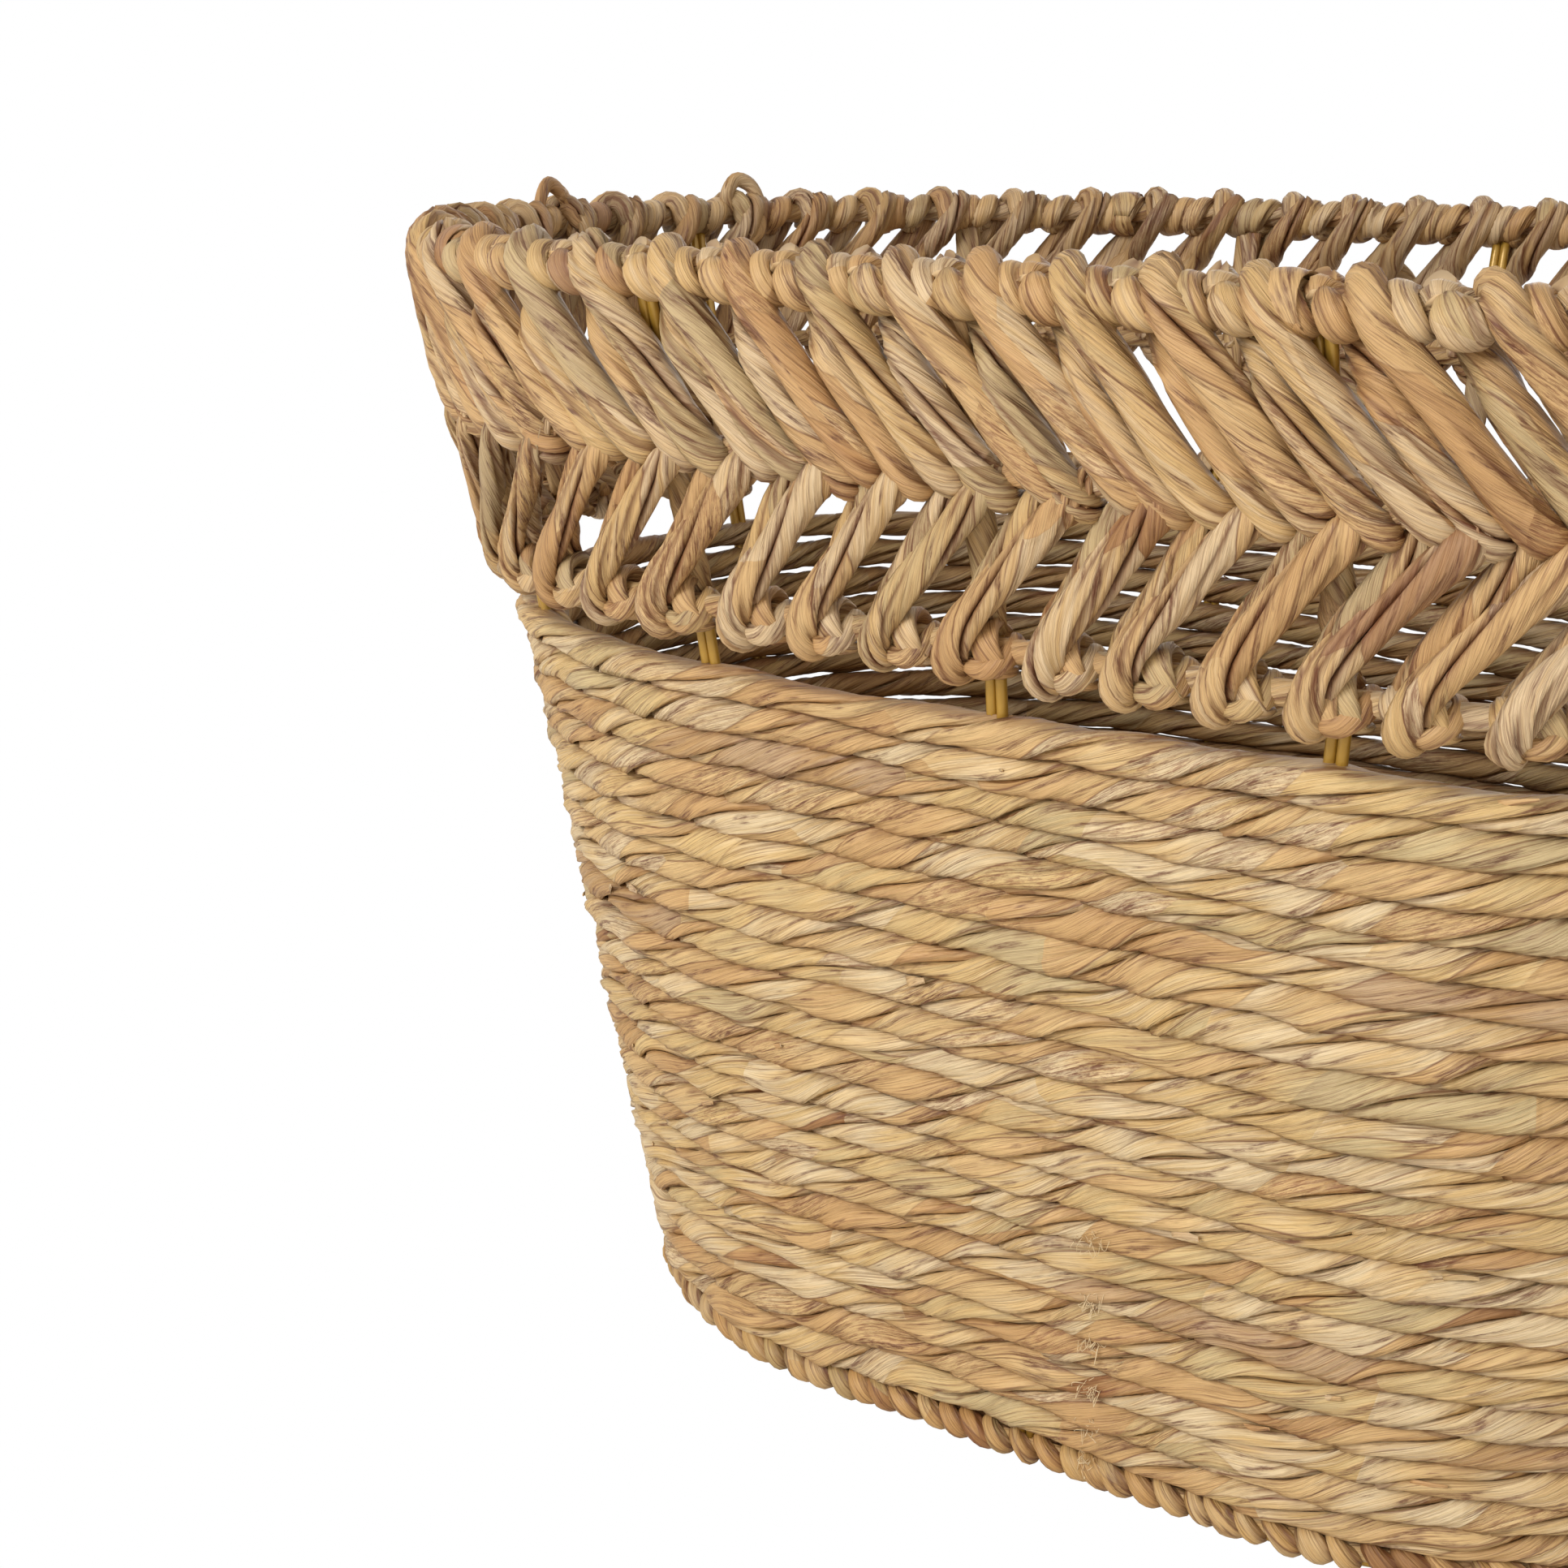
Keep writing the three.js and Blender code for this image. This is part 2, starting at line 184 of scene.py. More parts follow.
class Skin:
    """Collects swept strands into one mesh with a leaf map, leaf tones and painted crease shade."""

    # inner and the groove shade: strength of painted shade on a strand's inward side and on its sides where
    # rows and turns meet
    def __init__(self, slant=0.05, relief=0.3, inner=0.0, groove_shade=0.0):
        self.points, self.faces, self.maps, self.tones, self.crease_shades = [], [], [], [], []
        self.count = 0
        self.slant = slant
        self.relief = relief
        self.inner = inner
        self.groove_shade = groove_shade

    def sweep(self, rings, lengths, girth, tone, closed=False, around=None, crease_shade=0.0):
        """rings: steps x points x 3; lengths: distance along at each step; tone: one per step;
        around: share of the girth at each point of a ring; the crease shade: painted shade in the crevices, 0
        to 1."""
        steps, sides = rings.shape[:2]
        loops = steps if closed else steps - 1
        base = self.count
        self.points.append(rings.reshape(-1, 3))
        self.tones.append(np.repeat(np.broadcast_to(tone, steps), sides))
        self.crease_shades.append(np.broadcast_to(crease_shade, (steps, sides)).ravel())
        self.count += steps * sides
        step = np.arange(loops)[:, None]
        side = np.arange(sides)[None, :]
        here = base + step * sides
        there = base + ((step + 1) % steps) * sides
        following = (side + 1) % sides
        quads = np.stack([here + side, here + following, there + following, there + side], -1)
        self.faces.extend(quads.reshape(-1, 4).tolist())
        ahead = np.append(lengths, 2 * lengths[-1] - lengths[-2])
        low, high = ahead[:loops, None] + 0 * side, ahead[1:loops + 1, None] + 0 * side
        around = np.append(np.arange(sides) / sides if around is None else around, 1.0)
        left, right = around[None, :-1] * girth + 0 * step, around[None, 1:] * girth + 0 * step
        corners = [(low, left - self.slant * low), (low, right - self.slant * low),
                   (high, right - self.slant * high), (high, left - self.slant * high)]
        self.maps.append(np.stack([np.stack(c, -1) for c in corners], -2).reshape(-1, 2))
        if not closed:
            for start, order in ((base, -1), (base + (steps - 1) * sides, 1)):
                self.faces.append([start + i for i in range(sides)][::order])
                self.maps.append(np.full((sides, 2), 0.001))

    def build(self, name, material):
        """Makes the object, its leaf map, its tone attribute and its attribute of painted crease shade."""
        mesh = bpy.data.meshes.new(name)
        mesh.from_pydata(np.concatenate(self.points).tolist(), [], self.faces)
        leaf_map = mesh.uv_layers.new(name="leaf")
        leaf_map.data.foreach_set("uv", np.concatenate(self.maps).ravel())
        tone = mesh.attributes.new("tone", "FLOAT", "POINT")
        tone.data.foreach_set("value", np.concatenate(self.tones))
        # Painted shade in the crevices, which the leaf material turns dark brown
        crease_shade = mesh.attributes.new("crease_shade", "FLOAT", "POINT")
        crease_shade.data.foreach_set("value", np.clip(np.concatenate(self.crease_shades), 0, 1))
        mesh.materials.append(material)
        mesh.polygons.foreach_set("use_smooth", [True] * len(mesh.polygons))
        mesh.update()
        thing = bpy.data.objects.new(name, mesh)
        bpy.context.collection.objects.link(thing)
        return thing


def dress(thing, slot, *nodes):
    """Rides a finished piece on the basket and lets it stand for its nodes."""
    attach(thing, "root")
    if nodes:
        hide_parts(*nodes)


STRAND_SLANT = 0.26
# Relief sets the height of the leaf-edge steps and the strength of the painted crease shade
STRAND_RELIEF = 1.25
PLY_SIDES = 18
ROLL_SIDES = 16
PLY_CENTRE = 0.42
PLY_SOFTNESS = 3.6
PLY_BREADTH = 1.1
PLY_EDGES = (0.7, -0.55)
ROLL_EDGES = (0.45, 2.5, -1.7)
EDGE_STEP = 0.17
EDGE_RUN = 55 * MM
TURN_STEPS = 22


def edged_turns(sides, edges):
    """Angles round an outline from its back, drawn together at each leaf edge."""
    turn = 2 * np.pi * np.arange(sides) / sides + np.pi
    for edge in edges:
        edge = np.mod(edge - np.pi, 2 * np.pi) + np.pi
        before = int((edge - np.pi) / (2 * np.pi) * sides)
        turn[before] = edge - 0.05
        turn[before + 1] = edge + 0.07
    return turn


def roll_outline():
    """Round outline of a rolled leaf, as outward and sideways parts of unit size."""
    turn = edged_turns(ROLL_SIDES, ROLL_EDGES)
    return turn, np.cos(turn), np.sin(turn)


def ply_outline():
    """Half-round outline of one ply of a two-ply strand with a radius of 1."""
    turn = edged_turns(PLY_SIDES, PLY_EDGES)
    round_reach = np.sqrt(1 - (PLY_CENTRE * np.sin(turn)) ** 2) - PLY_CENTRE * np.cos(turn)
    flat_reach = PLY_CENTRE / np.maximum(-np.cos(turn), 0.001)
    reach = (round_reach ** -PLY_SOFTNESS + flat_reach ** -PLY_SOFTNESS) ** (-1 / PLY_SOFTNESS)
    return turn, PLY_CENTRE + reach * np.cos(turn), PLY_BREADTH * reach * np.sin(turn)


def unit(vectors):
    """Rows of an array as directions of length 1."""
    return vectors / np.linalg.norm(vectors, axis=1, keepdims=True)


def running_length(points):
    steps = np.linalg.norm(np.diff(points, axis=0), axis=1)
    return np.concatenate([[0], np.cumsum(steps)])


def leaf_tone(rng):
    return 0.2 + 0.8 * rng.beta(1.6, 1.6)


def lay_strand(skin, rng, line, outward, side, deep, wide, angle, tone, plies=2, closed=False, plump=0.0):
    """Lays the plies of a strand along its middle line. deep and wide are its half sizes.
    plump says how much each ply thickens and thins on its own."""
    turn, first_out, first_side = ply_outline() if plies == 2 else roll_outline()
    edges = PLY_EDGES if plies == 2 else ROLL_EDGES
    girth = 2.2 * math.pi / plies ** 0.3 * float(np.mean(deep + wide)) / 2
    lengths = running_length(line)
    shows = 2 * np.pi * np.arange(len(line)) / len(line) * max(2, 2 * round(lengths[-1] / EDGE_RUN / 2))
    lengths = lengths + rng.uniform(0, 2)
    from_back = np.pi - np.abs(np.mod(turn, 2 * np.pi) - np.pi)
    # Painted shade along the seam where the two plies meet
    seam_shade = wave_blend((from_back - 1.6) / 0.4) if plies == 2 else 0 * turn
    for ply in range(plies):
        own = np.broadcast_to(angle + np.pi * ply, len(line))[:, None]
        lobes = rng.uniform(0, 2 * np.pi, 2)
        swell = 1 + 0.035 * np.cos(3 * turn + 0.6 * own + lobes[0])
        swell = swell + 0.025 * np.cos(5 * turn - own + lobes[1])
        swell = swell * (1 + plump * np.sin(shows * 0.5 * (2 + ply) + rng.uniform(0, 2 * np.pi)))[:, None]
        crease_shade = 0.8 * skin.relief * seam_shade + 0 * own
        for edge in edges:
            strength = wave_blend(0.55 + np.sin(shows + rng.uniform(0, 2 * np.pi)))[:, None]
            past = np.mod(turn - edge, 2 * np.pi) / (2 * np.pi)
            step = EDGE_STEP * skin.relief ** 0.5
            swell = swell + strength * step * (past - 0.5) * np.exp(-2.2 * np.minimum(past, 1 - past))
            # Painted shadow on the lower side of the step at each leaf edge
            crease_shade = crease_shade + strength * skin.relief * np.exp(-past / 0.03)
        reach_out = swell * (first_out * np.cos(own) - first_side * np.sin(own))
        reach_side = swell * (first_out * np.sin(own) + first_side * np.cos(own))
        # Painted shade on the inward side of the strand
        crease_shade = crease_shade + skin.inner * wave_blend(-reach_out / 0.4)
        # Painted shade at the sides, where neighbouring rows and turns meet
        crease_shade = crease_shade + skin.groove_shade * wave_blend((np.abs(reach_side) - 0.74) / 0.18)
        rings = line[:, None] + outward[:, None] * (np.reshape(deep, (-1, 1)) * reach_out)[..., None]
        rings = rings + side[:, None] * (np.reshape(wide, (-1, 1)) * reach_side)[..., None]
        own_tone = np.clip(tone + rng.normal(0, 0.14), 0, 1)
        skin.sweep(rings, lengths, girth, own_tone, closed, turn / (2 * np.pi) - 0.5, crease_shade)


def smooth_path(knots, count):
    """Catmull-Rom points through knots given as rows of place, out and height."""
    knots = np.asarray(knots, float)
    padded = np.vstack([2 * knots[0] - knots[1], knots, 2 * knots[-1] - knots[-2]])
    t = np.linspace(0, len(knots) - 1 - 1e-9, count)
    i = t.astype(int)
    f = (t - i)[:, None]
    a, b, c, d = padded[i], padded[i + 1], padded[i + 2], padded[i + 3]
    return 0.5 * (2 * b + (c - a) * f + (2 * a - 5 * b + 4 * c - d) * f ** 2
                  + (3 * b - a - 3 * c + d) * f ** 3)


def knot(place, shift, out, z, z_level):
    """A path point: place moved along the wall by shift, out, and a height, the last three in mm."""
    return [place + shift * MM / bay_length(place, z_level), out * MM, z]


def knots_from(place, shift, z_level, table):
    """Path points from rows of shift, out and rise in mm, all of them moved along by shift."""
    return [knot(place, shift + aside, out, z_level + rise * MM, z_level) for aside, out, rise in table]


def path_frames(points, outward):
    """Unit outward and sideways directions square to a path; side is outward x tangent."""
    tangent = unit(np.gradient(points, axis=0))
    outward = unit(outward - tangent * np.sum(outward * tangent, axis=1, keepdims=True))
    return outward, np.cross(outward, tangent)


def along(size, share):
    """A value along a strand, given as a number, an array or a function of the share."""
    return size(share) if callable(size) else size + 0 * share


def wall_strand(skin, rng, knots, count, deep, wide, lay, tone, plies=2, away_from=None):
    """A strand through knots on the wall. deep and wide are its half sizes, as for along.
    away_from is a point that it turns round and how far, from 0 to 1, as for along."""
    path = smooth_path(knots, count)
    points = on_wall(path[:, 0], path[:, 1], path[:, 2])
    outward = wall_axes(path[:, 0], path[:, 2])[2]
    share = np.linspace(0, 1, count)
    if away_from:
        middle, how_far = away_from
        blend = along(how_far, share)[:, None]
        outward = outward * (1 - blend) + unit(points - middle) * blend
    outward, side = path_frames(points, outward)
    angle = lay[0] + np.pi * lay[1] * share
    lay_strand(skin, rng, points, outward, side, along(deep, share), along(wide, share), angle, tone, plies)


def wrap_turn(skin, rng, place, shift, out, z, radius, wide, deep, lean, tone, belly=0.0, start=-2.6,
              sweep=6.6, inside=0.0):
    """One turn of leaf round a wire, which leans along it and may swell at its lower front and inside."""
    turn = start + np.linspace(0, sweep, TURN_STEPS)
    centre, wall_radius, outward = wall_axes(place + 0 * turn, z + 0 * turn)
    middle = centre + outward * (wall_radius + out)[:, None]
    ahead = on_wall(place + 0.01, out, z) - on_wall(place - 0.01, out, z)
    ahead = ahead / np.linalg.norm(ahead)
    away = outward * np.cos(turn)[:, None] + np.array([0, 0, 1.0]) * np.sin(turn)[:, None]
    swell = 1 + belly * np.exp((np.cos(turn + 0.6) - 1) * 1.65)
    broad = 1 + inside * np.exp((np.cos(turn - 3.3) - 1) * 2.2)
    slide = shift - lean * np.sin(turn) + (turn - turn.mean()) * lean * 0.12
    points = middle + away * (radius * (0.5 + 0.5 * swell))[:, None] + ahead * slide[:, None]
    share = np.linspace(0, 1, TURN_STEPS)
    ends = 0.6 + 0.4 * wave_blend(share / 0.12) * wave_blend((1 - share) / 0.12)
    radial, side = path_frames(points, away)
    lay_strand(skin, rng, points, radial, side, deep / 2 * ends * swell, wide / 2 * ends * swell * broad,
               0.5 * share, tone, plies=1)


# Rope rows


ROPE_STEPS_PER_BAY = 30
ROPE_RISE = 1.11
ROPE_PLUMP = 0.07
TOP_ROW_RISE = 0.98
# Painted shade on the inward side of a row
INNER_SHADE = 0.25
# Painted shade at the top and bottom of a row, where it meets the next
ROW_GROOVE_SHADE = 0.6
# How a row wanders up and down: waves round the basket, height in mm and slip from row to row
ROW_WAVES = ((1, 0.6, 0.9), (3, 0.5, 1.7), (5, 0.4, 2.3), (8, 0.26, 2.9), (13, 0.14, 3.7))


def row_line(row, place, start, pitch):
    """Height of the middle of a row, which wanders a little as the rows under it do."""
    z = start + row * pitch
    for wave, height, slip in ROW_WAVES:
        z = z + height * MM * np.sin(2 * np.pi * wave * place / STAYS + slip * row * 0.45 + slip)
    return z


def rope_row(settings, rng, row, start, pitch):
    """One row: two plies that swap sides round the stays as they wind."""
    skin = Skin(inner=INNER_SHADE, groove_shade=ROW_GROOVE_SHADE)
    count = STAYS * ROPE_STEPS_PER_BAY
    place = HALF_ROUND + 0.13 * row + np.arange(count) * STAYS / count
    z = row_line(row, place, start, pitch)
    room = row_line(row + 0.5, place, start, pitch) - row_line(row - 0.5, place, start, pitch)
    length = bay_length(0, start + row * pitch) * STAYS
    half_turns = 2 * round(length / settings.rope_lay / 2 + rng.uniform(-1.6, 1.6))
    angle = np.pi * half_turns * np.arange(count) / count + rng.uniform(0, 2 * np.pi)
    angle = angle + smooth_noise(rng, place, STAYS, (5, 9, 14, 19, 27), 0.55)
    from_stay = np.abs(place - np.round(place))
    parting = 1 + 0.16 * wave_blend(1 - from_stay / 0.25)
    thick = 1 + smooth_noise(rng, place, STAYS, (13, 22, 31, 47), 0.06)
    upper_back = at_back(place) * wave_blend((row - ROWS / 2) / 4)
    outs = rng.normal(0, 0.35) * MM + smooth_noise(rng, place, STAYS, (3, 7, 16), 0.3 * MM)
    centre, radius, outward = wall_axes(place, z)
    line = centre + outward * (radius + outs)[:, None]
    up = np.broadcast_to([0, 0, 1.0], line.shape)
    deep = settings.rope_depth / 2 * thick * parting
    closing = 1 + 0.07 * wave_blend(1 - from_stay / 0.12)
    rise = ROPE_RISE if row < ROWS - 1 else TOP_ROW_RISE
    wide = room / 2 * thick * closing * rise * (1 - 0.19 * upper_back)
    tone = 0.5 + smooth_noise(rng, place, STAYS, (9, 20, 33), 0.2)
    lay_strand(skin, rng, line, outward, up, deep, wide, angle, tone, closed=True, plump=ROPE_PLUMP)
    return skin


# Open band


PERIODS_PER_BAY = 4
UPPER_LEAN = 31
LOWER_LEAN = 34
UPPER_HALF_DEPTH = 4.2 * MM
UPPER_STEPS = 28
LOWER_STEPS = 32
HITCH_STEPS = 18
RIM_REPEAT = 21.6 * MM
ELBOW_REACH = 1.04
ELBOW_STEP = 0.32
ONE_ROLL_SHARE = 0.5
# Painted shade on the inward side of the band's strands
STRAND_INNER_SHADE = 0.28

# Paths as rows of shift along the wall, out from the line of the stays, and rise, in mm
OVER_RIM = ((-5.6, -4.4, -3), (-4.6, -3.2, 2.6), (-2.8, 1.0, 4.2), (-0.2, 4.8, 0.8), (4.0, 6.4, -6))
UNDER_RIM = ((-6.0, -1.6, 4), (-4.4, -5.2, 1), (-0.6, -5.6, -5), (3.8, -1.8, -10.5), (7.4, 3.2, -15))
OVER_HOOP = ((5.4, -1.5, 1.5), (5.8, 2.0, 4.4), (6.8, 6.2, 3.4),
             (8.2, 7.8, -0.4), (9.4, 6.4, -4.4), (10.0, 2.6, -5.4))
UNDER_HOOP = ((1.0, 5.0, -3.8), (4.4, 7.8, -4.4), (8.2, 8.4, -4.4),
              (11.2, 7.2, -2.6), (12.8, 4.2, 0.2), (12.6, 0.6, 1.6))

# Paths of a lower strand, first by the middle ring and then by the hoop, as rows of the share of its
# lean, shift, out and rise
FRONT_LOWER = (((0, 2.6, 0, 2.6), (0, 1.8, 4.4, 0.6), (0, 0.4, 7.8, -3.4), (0.14, 0, 8.2, -8.5)),
               ((0.52, 0, 7.4, 19.5), (0.85, 0, 8.4, 7), (0.98, 0, 9.2, -1.2), (1, 0, 7, -6),
                (0.96, 0, 2.6, -6), (0.9, 0, -0.6, -1.6)))
BACK_LOWER = (((0, 2, -2.2, 1), (0, 0.5, 2.2, -3), (0.16, 0, 4.8, -9)),
              ((0.5, 0, 4.8, 19.5), (0.84, 0, 3, 8), (0.99, 0, 0.4, 1), (1.03, 0, 0.8, -4)))


def upper_strand(settings, skin, rng, place, over_rim):
    """A fat strand from the rim down to its elbow at the middle ring."""
    back = float(at_back(place))
    x = rng.normal(0, 0.6)
    lean = UPPER_LEAN * rng.uniform(0.94, 1.06)
    width = settings.upper_width * rng.uniform(0.86, 1.1)
    width *= 1 - 0.14 * back if over_rim else 0.9 - 0.12 * back
    sunk = 0 if over_rim else 1.7
    low = MIDDLE_Z + rng.normal(-0.5 if over_rim else -2.5, 0.8) * MM
    fall = RIM_Z - low
    start = 0.84 + 0.08 * back
    aside, table = (0, OVER_RIM) if over_rim else (3.4 - 3.0 * back, UNDER_RIM)
    knots = knots_from(place, x + aside, RIM_Z, table) + [
        knot(place, x + lean * 0.44, 7.0 - sunk + rng.normal(0, 0.4), RIM_Z - fall * 0.45, MIDDLE_Z),
        knot(place, x + lean * 0.74, 7.8 - sunk + rng.normal(0, 0.4), RIM_Z - fall * 0.76, MIDDLE_Z),
        knot(place, x + lean * 0.97, 7.6 - sunk / 2, RIM_Z - fall * 0.97, MIDDLE_Z),
        knot(place, x + lean * 1.06, 5.4, low - 1.7 * MM, MIDDLE_Z),
        knot(place, x + lean * 1.10, 1.2, low - 3.0 * MM, MIDDLE_Z),
    ]

    def taper(share):
        ending = 1 - 0.35 * wave_blend((share - 0.87) / 0.13)
        return (start + (1 - start) * wave_blend(share / 0.35)) * ending

    around = (on_wall(place, 0, RIM_Z), lambda share: 1 - wave_blend(share / 0.28)) if over_rim else None
    plies = 1 if rng.random() < ONE_ROLL_SHARE else 2
    lay = (rng.uniform(-0.6, 2.4), 1.1 if plies == 1 else rng.uniform(1.9, 2.6))
    wall_strand(skin, rng, knots, UPPER_STEPS,
                lambda share: UPPER_HALF_DEPTH * (1 - 0.1 * back) * taper(share),
                lambda share: width / 2 * taper(share), lay, leaf_tone(rng), plies, away_from=around)


def lower_strand(settings, skin, rng, place, front):
    """A slimmer two-ply strand from the middle ring down to the hoop."""
    back = float(at_back(place))
    x = rng.normal(0, 0.6)
    lean = LOWER_LEAN * rng.uniform(0.93, 1.07)
    width = settings.lower_width * rng.uniform(0.9, 1.1) * (1 - 0.16 * back)
    if not front:
        x -= 8.6
        lean -= 8.0
        width *= 0.94
    knots = []
    for z, table in zip((MIDDLE_Z, HOOP_Z), FRONT_LOWER if front else BACK_LOWER):
        knots += [knot(place, x - lean * share + aside, out, z + rise * MM, z)
                  for share, aside, out, rise in table]

    def swell(share):
        if front:
            return 0.62 + 0.38 * wave_blend(share / 0.3) - 0.34 * wave_blend((share - 0.72) / 0.2)
        return 0.8 + 0.2 * wave_blend(share / 0.25)

    middle = on_wall(place + (x - lean) * MM / bay_length(place, HOOP_Z), 4 * MM, HOOP_Z)
    around = (middle, lambda share: wave_blend((share - 0.6) / 0.15)) if front else None
    lay = (rng.uniform(0, 3.0), 2.5 + rng.uniform(-0.2, 0.4))
    wall_strand(skin, rng, knots, LOWER_STEPS, lambda share: 0.42 * width * swell(share) ** 0.5,
                lambda share: width / 2 * swell(share), lay, leaf_tone(rng), away_from=around)


def wrapped_wire(skin, rng, place, out, z, thickness, length):
    """A smooth wrap of leaf along a ring wire, which shows between the knots."""
    count = max(10, round(length / 3))
    shifts = np.linspace(-length / 2, length / 2, max(3, count // 2))
    knots = [knot(place, shift, out / MM, z, z) for shift in shifts]
    wall_strand(skin, rng, knots, count, thickness / 2, thickness / 2, (0, 0.5), leaf_tone(rng), plies=1)


def rim_knobs(skin, rng, place, back):
    """The turns of leaf on the rim between two strands that pass over it."""
    stretch = bay_length(place, RIM_Z) / PERIODS_PER_BAY / RIM_REPEAT
    for shift, wide, belly, start, inside in ((5.9, 6.2, 0.16, -2.2, 0), (13.1, 6.6, 0.3, 0.7, 0.75)):
        wrap_turn(skin, rng, place, (shift * stretch + rng.normal(0, 0.4)) * MM, (0.6 - 0.8 * back) * MM,
                  RIM_Z - 0.8 * MM, 3.8 * MM, wide * stretch * MM * rng.uniform(0.9, 1.1), 4.8 * MM, 2.6 * MM,
                  leaf_tone(rng), belly * rng.uniform(0.6, 1.3), start, 6.6, inside)
    wrapped_wire(skin, rng, place, 0, RIM_Z, 6.4 * MM, 26)


def wrapped_stay(skin, rng, place, top):
    """Leaf wound round a stay inside the open band."""
    knots = [[place, 0, z] for z in np.linspace(HOOP_Z + 3 * MM, top, 4)]
    count = 24
    deep = 2.3 * MM * (1 + smooth_noise(rng, np.linspace(0, 1, count), 1, (2, 5), 0.08))
    wall_strand(skin, rng, knots, count, deep, 1.75 * deep, (0, 0.7), leaf_tone(rng), plies=1)


def hoop_hitch(skin, rng, place):
    """The half hitch beside a front strand, and the bare wrapped hoop after it."""
    tone = leaf_tone(rng)
    x = rng.normal(0, 0.5)
    middle = on_wall(place + (x + 9) * MM / bay_length(place, HOOP_Z), 3.4 * MM, HOOP_Z - 1 * MM)
    for table, wide, deep in ((OVER_HOOP, 8.0, 3.6), (UNDER_HOOP, rng.uniform(5.2, 6.4), 4.0)):
        wall_strand(skin, rng, knots_from(place, x, HOOP_Z, table), HITCH_STEPS, deep / 2 * MM,
                    wide / 2 * MM, (0.3, 0.4), tone, plies=1, away_from=(middle, 0.85))
    wrap_turn(skin, rng, place, 0.5 * MM, RING_OFFSET, HOOP_Z, 3.0 * MM, 7.5 * MM, 3.4 * MM, 0.6 * MM, tone)
    wrapped_wire(skin, rng, place + 0.12, RING_OFFSET, HOOP_Z, 5.8 * MM, 27)


def band_bay(settings, rng, bay):
    """The leaf work of the open band between two stays."""
    skin = Skin(STRAND_SLANT, STRAND_RELIEF, STRAND_INNER_SHADE)
    for period in range(PERIODS_PER_BAY):
        place = bay + (period + 0.5) / PERIODS_PER_BAY
        back = float(at_back(place))
        upper_strand(settings, skin, rng, place, True)
        upper_strand(settings, skin, rng, place + (0.5 + 0.36 * back) / PERIODS_PER_BAY, False)
        rim_knobs(skin, rng, place, back)
        lean = UPPER_LEAN * MM / bay_length(place, MIDDLE_Z)
        elbow = place + lean * ELBOW_REACH + ELBOW_STEP / PERIODS_PER_BAY
        lower_strand(settings, skin, rng, elbow, False)
        lower_strand(settings, skin, rng, elbow, True)
        hoop_hitch(skin, rng, elbow - LOWER_LEAN * MM / bay_length(place, HOOP_Z))
        wrapped_wire(skin, rng, place, RING_OFFSET, MIDDLE_Z, 5.2 * MM, 27)
    bare_above = bay % 3 == 1
    wrapped_stay(skin, rng, bay, MIDDLE_Z if bare_above else RIM_Z - 3 * MM)
    return skin


# Details that a worker left: loops, flat wraps, cut ends, torn leaf and fibres


def loose_loop(skin, rng, place, shape, tone):
    """A loop of leaf that stands up from the rim. shape lists shift, out and rise over the rim in mm."""
    knots = knots_from(place, 0, RIM_Z, shape)
    wall_strand(skin, rng, knots, 26, 1.5 * MM, 2.4 * MM, (0.4, 0.6), tone, plies=1)


def flat_wrap(skin, rng, place, out, z, radius, wide, tone):
    """A flat band of leaf round a ring wire and what is wrapped on it."""
    wrap_turn(skin, rng, place, 0, out, z, radius, wide, 1.6 * MM, 0.8 * MM, tone, start=-3.1, sweep=6.3)


def cut_end(skin, rng, place, out, z, run, wide):
    """The end of a strand that comes out between two others and is cut off square."""
    knots = knots_from(place, 0, z, ((-run, out - 7.0, abs(run)), (0, out - 1.5, 0),
                                     (run * 0.8, out, -abs(run) * 1.1)))
    wall_strand(skin, rng, knots, 12, 0.36 * wide * MM, wide / 2 * MM, (rng.uniform(0, 1), 0.5), 0.3)


# By place: the path of each loop, the flat wraps, and the out, height, run and width in mm of each cut end
LOOSE_LOOPS = (
    (9.83, ((4, -2, 0), (6, -3, 6), (1.5, -2, 11), (-4, -2.5, 9), (-6.5, -3.5, 2), (-4.5, -6, -5),
            (0, -6.5, -8))),
    (10.66, ((6.5, -1, -1), (5.5, -1, 7), (0.5, -0.5, 11.5), (-5.5, -1.5, 8), (-7.5, -2.5, 1), (-6, -4, -5))),
)
RIM_BANDS = (0.925, 4.6, 8.45, 12.2)
HOOP_BANDS = (0.99, 5.0, 8.02, 11.0)
CUT_ENDS = ((-2.94, 13.7, 293, -5.5, 5.5), (4.2, 12.5, 288, 6, 6), (7.4, 12.5, 286, -6, 6))


def worker_details(rng):
    """Loops, flat wraps and cut ends along the band."""
    skin = Skin(STRAND_SLANT, STRAND_RELIEF)
    for place, shape in LOOSE_LOOPS:
        loose_loop(skin, rng, place, shape, 0.35)
    for place in RIM_BANDS:
        flat_wrap(skin, rng, place, 0.4 * MM, RIM_Z - 0.6 * MM, 6.6 * MM, 8.5 * MM, 0.7)
    for place in HOOP_BANDS:
        flat_wrap(skin, rng, place, RING_OFFSET, HOOP_Z, 6.4 * MM, 7.5 * MM, 0.45)
    for place, out, height, run, wide in CUT_ENDS:
        cut_end(skin, rng, place, out, height * MM, run, wide)
    return skin


TORN_LEAVES = 70


